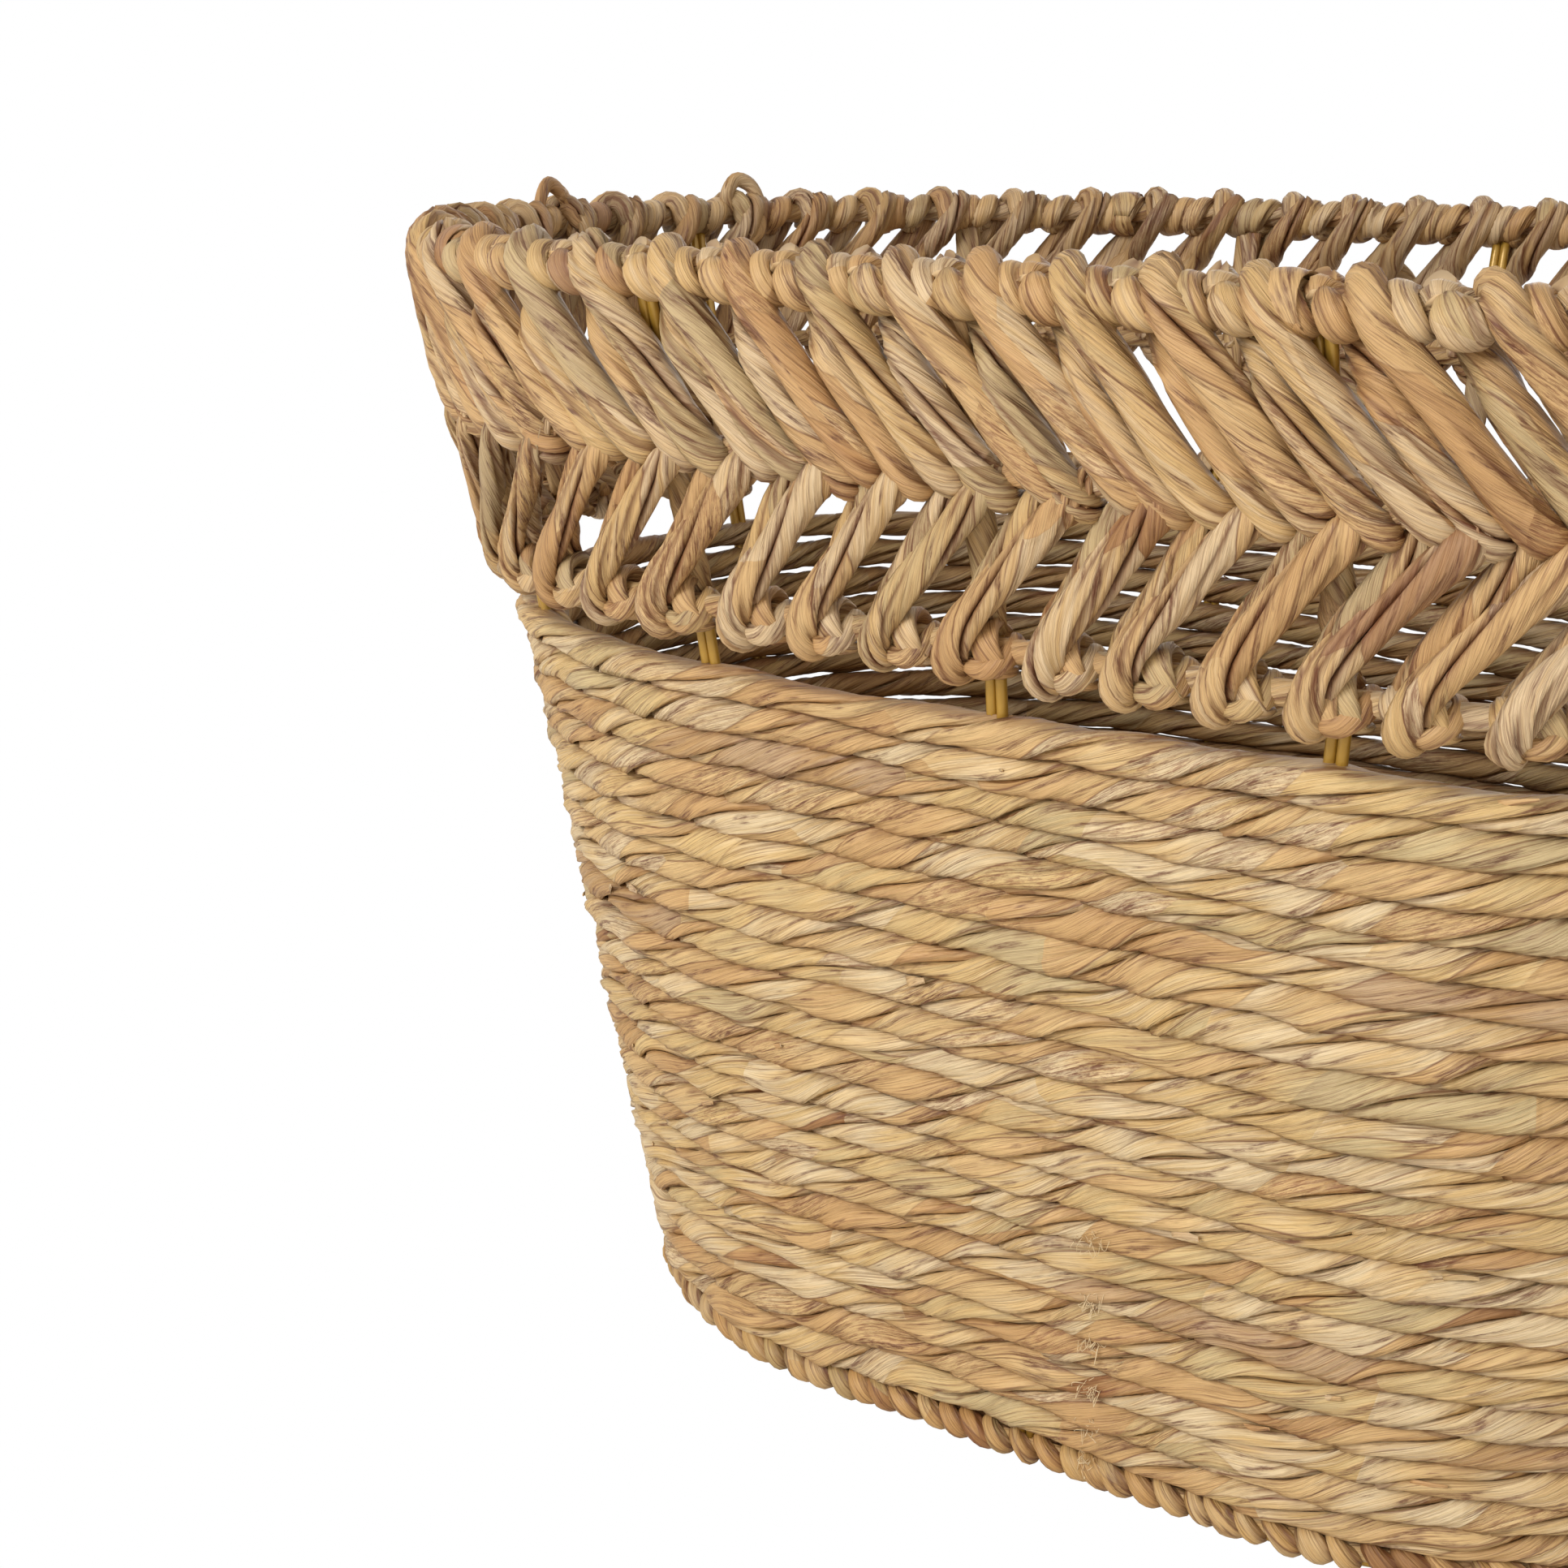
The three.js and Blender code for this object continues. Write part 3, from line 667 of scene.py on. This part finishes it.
def torn_leaves(rng, low, high):
    """Ends of leaf that stand off the rope rows a little."""
    skin = Skin()
    for place in rng.uniform(0, STAYS, TORN_LEAVES):
        z = rng.uniform(low, high)
        reach = rng.uniform(5, 10)
        lift = rng.uniform(0.4, 1.6)
        rise = reach * rng.uniform(0.1, 0.6)
        knots = knots_from(place, 0, z, ((0, 3.6, 0), (reach / 2, 4.6, rise / 2), (reach, 4.8 + lift, rise)))
        wide = rng.uniform(0.8, 1.7) * MM * np.linspace(1, 0.45, 8)
        lay = (rng.uniform(-0.4, 0.4), 0.3)
        wall_strand(skin, rng, knots, 8, 0.2 * MM, wide, lay, leaf_tone(rng), plies=1)
    return skin


FUZZ_PLACE = 0.335
FUZZ_HEIGHTS = (9, 20, 31, 43, 56, 73)
FUZZ_THREADS = 16
FUZZ_LEVEL = 40 * MM


def glued_fuzz(rng):
    """Tufts of pale fibre left in a column where the rope ends were glued."""
    skin = Skin()
    for height in FUZZ_HEIGHTS:
        for _ in range(FUZZ_THREADS):
            aside, up, turn, lift = rng.normal(0, 1.5, 4)
            shifts = (aside, aside + turn, aside + turn + lift * 0.5)
            heights = (height + up, height + up + rng.normal(0, 1.5), height + up + lift)
            knots = [knot(FUZZ_PLACE, shift, out, z * MM, FUZZ_LEVEL)
                     for shift, out, z in zip(shifts, (4.4, 5.6, 4.7), heights)]
            path = smooth_path(knots, 7)
            tube(skin, on_wall(path[:, 0], path[:, 1], path[:, 2]), False, rng.uniform(0.1, 0.2) * MM, 5)
    return skin


# Foot and floor


FOOT_TURN_PITCH = 7.2 * MM
FOOT_TURN_WIDTH = 5.0 * MM
FOOT_TURN_DEPTH = 4.1 * MM
FOOT_TURN_RADIUS = 2.1 * MM
# Painted shade between the turns of the foot
FOOT_GROOVE_SHADE = 0.6
FOOT_RAISE = 1.1 * MM


def foot_braid(rng):
    """The tight turns of leaf round the base wire, on which the basket stands."""
    skin = Skin(STRAND_SLANT, STRAND_RELIEF, groove_shade=FOOT_GROOVE_SHADE)
    low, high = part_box("foot_wrap")
    middle = (low[2] + high[2]) / 2 + FOOT_RAISE
    turns = round(bay_length(0, middle) * STAYS / FOOT_TURN_PITCH)
    for i in range(turns):
        shift = rng.normal(0, 0.8) * MM
        wide = FOOT_TURN_WIDTH * rng.uniform(0.75, 1.2)
        deep = FOOT_TURN_DEPTH * rng.uniform(0.85, 1.1)
        lean = rng.uniform(2.6, 5.0) * MM
        wrap_turn(skin, rng, i * STAYS / turns, shift, 0, middle, FOOT_TURN_RADIUS, wide, deep, lean,
                  0.1 + 0.9 * rng.beta(1.1, 1.1), rng.uniform(0.3, 0.55))
    wrapped_wire(skin, rng, 0, 0, middle, 4.6 * MM, bay_length(0, middle) * STAYS / MM)
    return skin


MAT_PITCH = 8.3 * MM
MAT_STEP = 3.4 * MM


def floor_mat(settings, rng):
    """Ropes laid in ovals, one inside the other, on the cross wires."""
    skin = Skin()
    low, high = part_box("base_mat")
    z = (low[2] + high[2]) / 2
    radius = float(wall_axes(0, z)[1])
    reach = (high[1] - low[1]) / 2 - MAT_PITCH / 2
    rings = round(reach / MAT_PITCH + 0.5)
    pitch = reach / (rings - 0.5)
    for ring in range(rings):
        inset = radius - reach + ring * pitch
        length = 4 * BASE[1] + 2 * math.pi * (radius - inset)
        count = round(length / MAT_STEP)
        place = STAYS * np.arange(count) / count + 0.37 * ring
        points = on_wall(place, -inset, z + smooth_noise(rng, place, STAYS, (2, 5, 9), 0.3 * MM))
        outward = wall_axes(place, z)[2]
        half_turns = 2 * round(length / settings.rope_lay / 2)
        angle = np.pi * half_turns * np.arange(count) / count
        angle = angle + smooth_noise(rng, place, STAYS, (3, 7, 12), 0.5)
        up = np.broadcast_to([0, 0, 1.0], points.shape)
        half = pitch / 2 * 1.04 + 0 * place
        lay_strand(skin, rng, points, outward, up, half, half * 0.92, angle, leaf_tone(rng), closed=True)
    return skin


# Wires


def tube(skin, points, closed, thickness, sides=12):
    """A round wire along points."""
    tangent = unit(np.roll(points, -1, 0) - np.roll(points, 1, 0) if closed else np.gradient(points, axis=0))
    across = np.cross(tangent, [0, 0, 1.0])
    flat = np.linalg.norm(across, axis=1) < 0.5
    across[flat] = np.cross(tangent[flat], np.cross([0, 0, 1.0], tangent[flat]) + [0.3, 0.7, 0.0])
    across = unit(across)
    turn = 2 * np.pi * np.arange(sides) / sides
    rise = np.cross(across, tangent)
    spokes = across[:, None] * np.cos(turn)[None, :, None] - rise[:, None] * np.sin(turn)[None, :, None]
    rings = points[:, None] + thickness / 2 * spokes
    skin.sweep(rings, running_length(points), 2 * math.pi * thickness / 2, 0.5, closed)


def ring_wire(node, out):
    """One ring wire of the frame."""
    skin = Skin()
    place = np.arange(STAYS * 12) / 12
    tube(skin, on_wall(place, out, level(node, out)[0]), True, RING_WIRE)
    return skin


def stay_wires(node, place):
    """A stay: two wires side by side, bent outward at the hoop."""
    skin = Skin()
    low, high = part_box(node)
    z = np.interp(np.linspace(0, 2, 21), [0, 1, 2], [low[2], HOOP_Z, high[2]])
    for side in (-0.5, 0.5):
        beside = side * STAY_WIRE / np.array([bay_length(place, height) for height in z])
        tube(skin, on_wall(place + beside, 0, z), False, STAY_WIRE)
    return skin


# Materials


# Sockets of a colour mix node, of which several share a name
MIX_FACTOR, MIX_FIRST, MIX_SECOND, MIX_RESULT = 0, 6, 7, 2

# Streaks in a leaf: waves in a metre along it and across it, detail and roughness. A wave of the
# drift is 40 mm long and 8 mm wide, of the folds 38 by 1.9, of the blotches 21 by 3.1 and of the
# speckles 4.3 by 0.6. Fibres and threads are 29 and 18 mm long, and their waves across are counted
# in a fibre's width.
DRIFT = (25, 120, 2, 0.5)
FOLDS = (26, 520, 5, 0.6)
BLOTCHES = (48, 320, 3, 0.6)
SPECKLES = (230, 1700, 4, 0.75)
FIBRES = (34, 1, 4, 0.65)
THREADS = (55, 2.1, 2, 0.5)

LEAF_DRIFT = 1.2 * MM
EDGE_LINE = 0.45 * MM
EDGE_ROUNDING = 1.4 * MM

# Waves in a metre: clouds in the glue of 1.1 mm and orange peel of 1.7 mm
GLUE_CLOUDS = 900
ORANGE_PEEL = 600


def node(tree, kind, settings=None, links=None):
    """Adds a node, sets its values by socket or property name and links its inputs."""
    made = tree.nodes.new(kind)
    for key, value in (settings or {}).items():
        if isinstance(key, str) and key not in made.inputs:
            setattr(made, key, value)
        else:
            made.inputs[key].default_value = value
    for key, source in (links or {}).items():
        tree.links.new(source, made.inputs[key])
    return made


def new_material(name):
    material = bpy.data.materials.new(name)
    material.use_nodes = True
    tree = material.node_tree
    return material, tree, tree.nodes["Principled BSDF"]


def dried_leaf(name, settings, tint="#ffffff"):
    """Dried water hyacinth leaf, rolled by hand: satin straw with overlapping leaf edges,
    fine dark fibres that run along the strand, and brown speckles on some leaves."""
    material, tree, shader = new_material(name)
    tone = node(tree, "ShaderNodeAttribute", {"attribute_name": "tone"})
    crease_shade = node(tree, "ShaderNodeAttribute", {"attribute_name": "crease_shade"})
    leaf_map = node(tree, "ShaderNodeUVMap", {"uv_map": "leaf"})

    def streaks(where, lengthways, across, detail, rough):
        """Noise drawn out along the leaf."""
        placed = node(tree, "ShaderNodeMapping", {"Scale": (lengthways, across, 1)}, {"Vector": where})
        made = node(tree, "ShaderNodeTexNoise",
                    {"noise_dimensions": "2D", "Scale": 1.0, "Detail": detail, "Roughness": rough},
                    {"Vector": placed.outputs["Vector"]})
        return made.outputs["Fac"]

    # The leaves wander a little from side to side along a strand
    drift = node(tree, "ShaderNodeMapRange", {"To Min": -LEAF_DRIFT, "To Max": LEAF_DRIFT},
                 {"Value": streaks(leaf_map.outputs["UV"], *DRIFT)})
    aside = node(tree, "ShaderNodeCombineXYZ", {}, {"Y": drift.outputs["Result"]})
    leaf = node(tree, "ShaderNodeVectorMath", {"operation": "ADD"},
                {0: leaf_map.outputs["UV"], 1: aside.outputs["Vector"]}).outputs["Vector"]

    # Overlapping leaves: long cells, each with its own colour and height
    cell_scale = (1 / settings.leaf_length, 1 / settings.leaf_width, 1)
    cells_at = node(tree, "ShaderNodeMapping", {"Scale": cell_scale}, {"Vector": leaf})
    cell, beyond, border = (
        node(tree, "ShaderNodeTexVoronoi", {"voronoi_dimensions": "2D", "feature": feature, "Scale": 1.0},
             {"Vector": cells_at.outputs["Vector"]}) for feature in ("F1", "F2", "DISTANCE_TO_EDGE"))
    parts = node(tree, "ShaderNodeSeparateColor", {}, {"Color": cell.outputs["Color"]})
    hue, wear, lift = parts.outputs["Red"], parts.outputs["Green"], parts.outputs["Blue"]

    # Distance to the leaf's edge in metres, as the cells are longer than wide
    across = node(tree, "ShaderNodeVectorMath", {"operation": "SUBTRACT"},
                  {0: beyond.outputs["Position"], 1: cell.outputs["Position"]})
    across = node(tree, "ShaderNodeVectorMath", {"operation": "NORMALIZE"}, {0: across.outputs["Vector"]})
    across = node(tree, "ShaderNodeVectorMath", {"operation": "MULTIPLY", 1: cell_scale},
                  {0: across.outputs["Vector"]})
    slope = node(tree, "ShaderNodeVectorMath", {"operation": "LENGTH"}, {0: across.outputs["Vector"]})
    to_edge = node(tree, "ShaderNodeMath", {"operation": "DIVIDE"},
                   {0: border.outputs["Distance"], 1: slope.outputs["Value"]})

    folds, blotches, speckles = (streaks(leaf, *kind) for kind in (FOLDS, BLOTCHES, SPECKLES))
    fibres, threads = (streaks(leaf, lengthways, waves / settings.fibre_width, *rest)
                       for lengthways, waves, *rest in (FIBRES, THREADS))

    # Each leaf's colour, from its own tone and the strand's
    own = node(tree, "ShaderNodeMath", {"operation": "MULTIPLY", 1: 0.62}, {0: hue})
    both = node(tree, "ShaderNodeMath", {"operation": "MULTIPLY_ADD", 1: 0.4},
                {0: tone.outputs["Fac"], 2: own.outputs["Value"]})
    shaded = node(tree, "ShaderNodeMapRange", {"To Min": -0.15, "To Max": 0.15}, {"Value": folds})
    chosen = node(tree, "ShaderNodeMath", {"operation": "ADD"},
                  {0: both.outputs["Value"], 1: shaded.outputs["Result"]})
    colour = node(tree, "ShaderNodeValToRGB", {}, {"Fac": chosen.outputs["Value"]})
    stops = ((0.0, settings.brown), (0.10, settings.russet), (0.28, settings.tan), (0.44, settings.straw),
             (0.58, settings.cream), (0.70, settings.yellow), (0.86, settings.khaki), (1.0, settings.grey))
    while len(colour.color_ramp.elements) < len(stops):
        colour.color_ramp.elements.new(0.5)
    for element, (position, shade) in zip(colour.color_ramp.elements, stops):
        element.position = position
        element.color = shade

    # Old, stained and blotched leaves, then fibres, the dark line at a leaf's edge and painted shade in the
    # crevices
    old_leaf = node(tree, "ShaderNodeMapRange", {"From Min": 0.07, "From Max": 0.03, "To Max": 0.75},
                    {"Value": wear})
    stained_leaf = node(tree, "ShaderNodeMapRange", {"From Min": 0.86, "From Max": 0.9}, {"Value": wear})
    speckled = node(tree, "ShaderNodeMapRange", {"From Min": 0.47, "From Max": 0.6, "To Max": 0.6},
                    {"Value": speckles})
    stain = node(tree, "ShaderNodeMath", {"operation": "MULTIPLY"},
                 {0: stained_leaf.outputs["Result"], 1: speckled.outputs["Result"]})
    grain = node(tree, "ShaderNodeMapRange", {"From Min": 0.4, "From Max": 0.6, "To Min": 0.3},
                 {"Value": speckles})
    dark = node(tree, "ShaderNodeMapRange", {"From Min": 0.575, "From Max": 0.67, "To Max": 0.85},
                {"Value": blotches})
    blotch = node(tree, "ShaderNodeMath", {"operation": "MULTIPLY"},
                  {0: dark.outputs["Result"], 1: grain.outputs["Result"]})
    thread = node(tree, "ShaderNodeMapRange", {"From Min": 0.45, "From Max": 0.8, "To Max": 0.5},
                  {"Value": threads})
    line = node(tree, "ShaderNodeMapRange", {"From Min": 0.57, "From Max": 0.66, "To Max": 0.52},
                {"Value": fibres})
    along_edge = node(tree, "ShaderNodeMapRange",
                      {"From Min": 0.35 / settings.leaf_width, "From Max": 0.8 / settings.leaf_width,
                       "To Max": 0.8}, {"Value": slope.outputs["Value"]})
    edge = node(tree, "ShaderNodeMapRange", {"From Max": EDGE_LINE, "To Max": 0.0},
                {"Value": to_edge.outputs["Value"], "To Min": along_edge.outputs["Result"]})
    # Painted shade in the crevices, from the crease shade attribute, in the fibre colour
    hollow_shade = node(tree, "ShaderNodeMath", {"operation": "MULTIPLY", 1: 0.8}, {0: crease_shade.outputs["Fac"]})
    surface = colour.outputs["Color"]
    for strength, paint in (
            (old_leaf.outputs["Result"], settings.brown), (stain.outputs["Value"], settings.stain),
            (blotch.outputs["Value"], settings.blotch), (thread.outputs["Result"], settings.fibre),
            (line.outputs["Result"], settings.fibre), (edge.outputs["Result"], settings.fibre),
            (hollow_shade.outputs["Value"], settings.fibre)):
        painted = node(tree, "ShaderNodeMix", {"data_type": "RGBA", MIX_SECOND: paint},
                       {MIX_FACTOR: strength, MIX_FIRST: surface})
        surface = painted.outputs[MIX_RESULT]
    tinted = node(tree, "ShaderNodeMix",
                  {"data_type": "RGBA", "blend_type": "MULTIPLY", MIX_FACTOR: 1.0, MIX_SECOND: linear(tint)},
                  {MIX_FIRST: surface})
    tree.links.new(tinted.outputs[MIX_RESULT], shader.inputs["Base Color"])

    # Relief in millimetres: leaves lie on each other, with rounded edges, folds and fibres
    raised = node(tree, "ShaderNodeMath", {"operation": "MULTIPLY", 1: 0.35}, {0: lift})
    rounding = node(tree, "ShaderNodeMapRange",
                    {"From Max": EDGE_ROUNDING, "To Max": 0.35, "interpolation_type": "SMOOTHSTEP"},
                    {"Value": to_edge.outputs["Value"]})
    folding = node(tree, "ShaderNodeMath", {"operation": "MULTIPLY", 1: 1.15}, {0: folds})
    ribbing = node(tree, "ShaderNodeMath", {"operation": "MULTIPLY", 1: -0.22}, {0: fibres})
    height = raised.outputs["Value"]
    for part in (rounding.outputs["Result"], folding.outputs["Value"], ribbing.outputs["Value"]):
        height = node(tree, "ShaderNodeMath", {"operation": "ADD"}, {0: height, 1: part}).outputs["Value"]
    bump = node(tree, "ShaderNodeBump", {"Strength": 0.9, "Distance": MM}, {"Height": height})
    tree.links.new(bump.outputs["Normal"], shader.inputs["Normal"])
    gloss = node(tree, "ShaderNodeMapRange", {"To Min": 0.42, "To Max": 0.62}, {"Value": folds})
    tree.links.new(gloss.outputs["Result"], shader.inputs["Roughness"])
    shader.inputs["Specular IOR Level"].default_value = 0.5
    return material


def pale_fibre():
    """Dried glue and frayed fibre: matt, off-white and a little uneven."""
    material, tree, shader = new_material("frayed fibre and dried glue")
    where = node(tree, "ShaderNodeTexCoord")
    cloud = node(tree, "ShaderNodeTexNoise", {"Scale": GLUE_CLOUDS, "Detail": 2.0},
                 {"Vector": where.outputs["Object"]})
    shade = node(tree, "ShaderNodeMix",
                 {"data_type": "RGBA", MIX_FIRST: linear("#d3bb90"), MIX_SECOND: linear("#e6d6b4")},
                 {MIX_FACTOR: cloud.outputs["Fac"]})
    tree.links.new(shade.outputs[MIX_RESULT], shader.inputs["Base Color"])
    shader.inputs["Roughness"].default_value = 0.7
    return material


def wire_enamel(settings):
    """Mustard enamel sprayed on steel wire: glossy, with a faint orange peel."""
    material, tree, shader = new_material("mustard enamel")
    where = node(tree, "ShaderNodeTexCoord")
    peel = node(tree, "ShaderNodeTexNoise", {"Scale": ORANGE_PEEL, "Detail": 2.0},
                {"Vector": where.outputs["Object"]})
    shade = node(tree, "ShaderNodeMapRange", {"To Min": 0.25, "To Max": 0.0}, {"Value": peel.outputs["Fac"]})
    colour = node(tree, "ShaderNodeMix",
                  {"data_type": "RGBA", MIX_FIRST: settings.enamel, MIX_SECOND: linear("#6f5214")},
                  {MIX_FACTOR: shade.outputs["Result"]})
    bump = node(tree, "ShaderNodeBump", {"Strength": 0.3, "Distance": 0.1 * MM},
                {"Height": peel.outputs["Fac"]})
    tree.links.new(colour.outputs[MIX_RESULT], shader.inputs["Base Color"])
    tree.links.new(bump.outputs["Normal"], shader.inputs["Normal"])
    shader.inputs["Roughness"].default_value = 0.3
    shader.inputs["Metallic"].default_value = 0.2
    return material


# Steps


# Where the random draws of each step begin, so that each run makes the same basket
ROW_SEED, BAND_SEED, FOOT_SEED, MAT_SEED, DETAILS_SEED = 100, 500, 900, 950, 970

# Tint of the leaf by piece
ROPE_TINT = "#fffdf2"
STRAND_TINT = "#f3ebdf"
FOOT_TINT = "#e6d8bc"
DETAILS_TINT = "#f1e8dc"


class BASKET_OT_rope_rows(bpy.types.Operator):
    """Twine the rope rows of the body"""
    bl_idname = "basket.rope_rows"
    bl_label = "Rope rows"

    def execute(self, context):
        settings = context.scene.basket
        leaf = dried_leaf("rolled leaf rope", settings, ROPE_TINT)
        names = sorted(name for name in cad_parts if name.startswith("rope_row_"))
        boxes = [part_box(name) for name in names]
        heights = [(low[2] + high[2]) / 2 for low, high in boxes]
        pitch = (heights[-1] - heights[0]) / (ROWS - 1)
        for row, name in enumerate(names):
            skin = rope_row(settings, np.random.default_rng(ROW_SEED + row), row, heights[0], pitch)
            dress(skin.build("twined_" + name, leaf), "leaf_rope", name)
        return {"FINISHED"}


class BASKET_OT_band(bpy.types.Operator):
    """Wrap the rim and the hoop and lean the strands between them"""
    bl_idname = "basket.band"
    bl_label = "Open band"

    def execute(self, context):
        settings = context.scene.basket
        leaf = dried_leaf("rolled leaf strand", settings, STRAND_TINT)
        for bay in range(STAYS):
            skin = band_bay(settings, np.random.default_rng(BAND_SEED + bay), bay)
            dress(skin.build(f"leaf_band_{bay + 1:02d}", leaf), "leaf_band", f"chevron_panel_{bay + 1:02d}")
        return {"FINISHED"}


class BASKET_OT_foot(bpy.types.Operator):
    """Wrap the foot ring"""
    bl_idname = "basket.foot"
    bl_label = "Foot"

    def execute(self, context):
        leaf = dried_leaf("rolled leaf foot", context.scene.basket, FOOT_TINT)
        skin = foot_braid(np.random.default_rng(FOOT_SEED))
        dress(skin.build("foot_braid", leaf), "leaf_foot", "foot_wrap")
        return {"FINISHED"}


class BASKET_OT_floor_mat(bpy.types.Operator):
    """Coil the floor of the basket"""
    bl_idname = "basket.floor_mat"
    bl_label = "Floor mat"

    def execute(self, context):
        settings = context.scene.basket
        leaf = dried_leaf("rolled leaf mat", settings)
        skin = floor_mat(settings, np.random.default_rng(MAT_SEED))
        dress(skin.build("coiled_floor_mat", leaf), "leaf_floor", "base_mat")
        return {"FINISHED"}


class BASKET_OT_details(bpy.types.Operator):
    """Add the loops, flat wraps, cut ends, torn leaf and frayed fibre"""
    bl_idname = "basket.details"
    bl_label = "Hand-work details"

    def execute(self, context):
        settings = context.scene.basket
        leaf = dried_leaf("rolled leaf details", settings, DETAILS_TINT)
        work, torn, fuzz = (np.random.default_rng(DETAILS_SEED + i) for i in range(3))
        low, high = BASE_Z + 12 * MM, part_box(f"rope_row_{ROWS}")[1][2]
        dress(worker_details(work).build("loops_and_cut_ends", leaf), "leaf_band")
        dress(torn_leaves(torn, low, high).build("torn_leaf_ends", leaf), "leaf_rope")
        dress(glued_fuzz(fuzz).build("frayed_fibre", pale_fibre()), "leaf_rope")
        return {"FINISHED"}


class BASKET_OT_wires(bpy.types.Operator):
    """Draw and paint the wire frame"""
    bl_idname = "basket.wires"
    bl_label = "Wire frame"

    def execute(self, context):
        enamel = wire_enamel(context.scene.basket)
        rings = {"rim_wire": 0, "middle_wire": RING_OFFSET, "hoop_wire": RING_OFFSET, "base_wire": 0}
        for name, out in rings.items():
            dress(ring_wire(name, out).build("round_" + name, enamel), "frame_paint", name)
        for place in range(STAYS):
            name = f"stay_{place + 1:02d}"
            dress(stay_wires(name, place).build("double_" + name, enamel), "frame_paint", name)
        for name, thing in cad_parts.items():
            if name.startswith("base_cross_wire"):
                thing.data.materials.clear()
                thing.data.materials.append(enamel)
                thing.data.shade_smooth()
        return {"FINISHED"}


# Light round the basket and its colour; each lamp's name, place, size in metres and watts
WORLD_LIGHT = 0.47
WORLD_WARMTH = "#ffeacf"
LAMPS = (("key", (-0.45, -1.8, 1.08), 1.0, 30), ("fill", (1.8, -1.3, 0.6), 1.4, 7),
         ("rear", (-0.4, 2.2, 1.0), 1.6, 14))
LAMPS_AIM = (0, 0, 0.15)

# The photograph's camera, as fitted to the oval: focal length in mm, place and turns in degrees
CAMERA_LENS = 58.2
CAMERA_PLACE = (0.3032, -0.6226, 0.3450)
CAMERA_ANGLES = (74.64, 0, 36.79)


class BASKET_OT_stage(bpy.types.Operator):
    """Set the floor, the light and the camera"""
    bl_idname = "basket.stage"
    bl_label = "Stage"

    def execute(self, context):
        bpy.ops.mesh.primitive_plane_add(size=12, location=(0, 0, 0))
        floor = context.active_object
        floor.name = "floor"
        material, tree, shader = new_material("white paper sweep")
        shader.inputs["Base Color"].default_value = linear("#f2f2f2")
        shader.inputs["Roughness"].default_value = 0.9
        ray = node(tree, "ShaderNodeLightPath")
        glow = node(tree, "ShaderNodeEmission", {"Color": (1, 1, 1, 1), "Strength": 1.0})
        seen = node(tree, "ShaderNodeMixShader", {},
                    {0: ray.outputs["Is Camera Ray"], 1: shader.outputs[0], 2: glow.outputs[0]})
        tree.links.new(seen.outputs[0], tree.nodes["Material Output"].inputs["Surface"])
        floor.data.materials.append(material)

        world = bpy.data.worlds.new("studio")
        context.scene.world = world
        world.use_nodes = True
        sky = world.node_tree
        ray = node(sky, "ShaderNodeLightPath")
        either = node(sky, "ShaderNodeMath", {"operation": "MAXIMUM"},
                      {0: ray.outputs["Is Camera Ray"], 1: ray.outputs["Is Glossy Ray"]})
        strength = node(sky, "ShaderNodeMapRange", {"To Min": WORLD_LIGHT, "To Max": 1.0},
                        {"Value": either.outputs[0]})
        warmth = node(sky, "ShaderNodeMix",
                      {"data_type": "RGBA", MIX_FIRST: linear(WORLD_WARMTH), MIX_SECOND: (1, 1, 1, 1)},
                      {MIX_FACTOR: either.outputs[0]})
        background = sky.nodes["Background"]
        sky.links.new(strength.outputs[0], background.inputs["Strength"])
        sky.links.new(warmth.outputs[MIX_RESULT], background.inputs["Color"])

        for name, place, size, power in LAMPS:
            lamp = bpy.data.lights.new(name, "AREA")
            lamp.size = size
            lamp.energy = power
            thing = bpy.data.objects.new(name, lamp)
            context.collection.objects.link(thing)
            thing.location = place
            thing.rotation_euler = (Vector(LAMPS_AIM) - Vector(place)).to_track_quat("-Z", "Y").to_euler()

        camera = bpy.data.cameras.new("photograph")
        camera.lens = CAMERA_LENS
        camera.sensor_width = 36
        thing = bpy.data.objects.new("photograph", camera)
        context.collection.objects.link(thing)
        thing.location = CAMERA_PLACE
        thing.rotation_euler = [math.radians(angle) for angle in CAMERA_ANGLES]
        context.scene.camera = thing
        context.scene.view_settings.view_transform = "Standard"
        return {"FINISHED"}


class BASKET_PT_panel(bpy.types.Panel):
    """Lists the sizes and colours of the basket and the steps that make it"""
    bl_idname = "BASKET_PT_panel"
    bl_label = "Oval leaf basket"
    bl_space_type = "VIEW_3D"
    bl_region_type = "UI"
    bl_category = "Basket"

    def draw(self, context):
        for name in BasketSettings.__annotations__:
            self.layout.prop(context.scene.basket, name)
        for step in STEPS:
            self.layout.operator(step.bl_idname)


STEPS = (BASKET_OT_stage, BASKET_OT_wires, BASKET_OT_rope_rows, BASKET_OT_band, BASKET_OT_foot,
         BASKET_OT_floor_mat, BASKET_OT_details)
CLASSES = (BasketSettings,) + STEPS + (BASKET_PT_panel,)


def register():
    for cls in CLASSES:
        bpy.utils.register_class(cls)
    bpy.types.Scene.basket = PointerProperty(type=BasketSettings)


def unregister():
    del bpy.types.Scene.basket
    for cls in reversed(CLASSES):
        bpy.utils.unregister_class(cls)


def main():
    register()
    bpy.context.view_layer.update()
    bpy.ops.basket.stage()
    bpy.ops.basket.wires()
    bpy.ops.basket.rope_rows()
    bpy.ops.basket.band()
    bpy.ops.basket.foot()
    bpy.ops.basket.floor_mat()
    bpy.ops.basket.details()


if __name__ == "__main__":
    main()
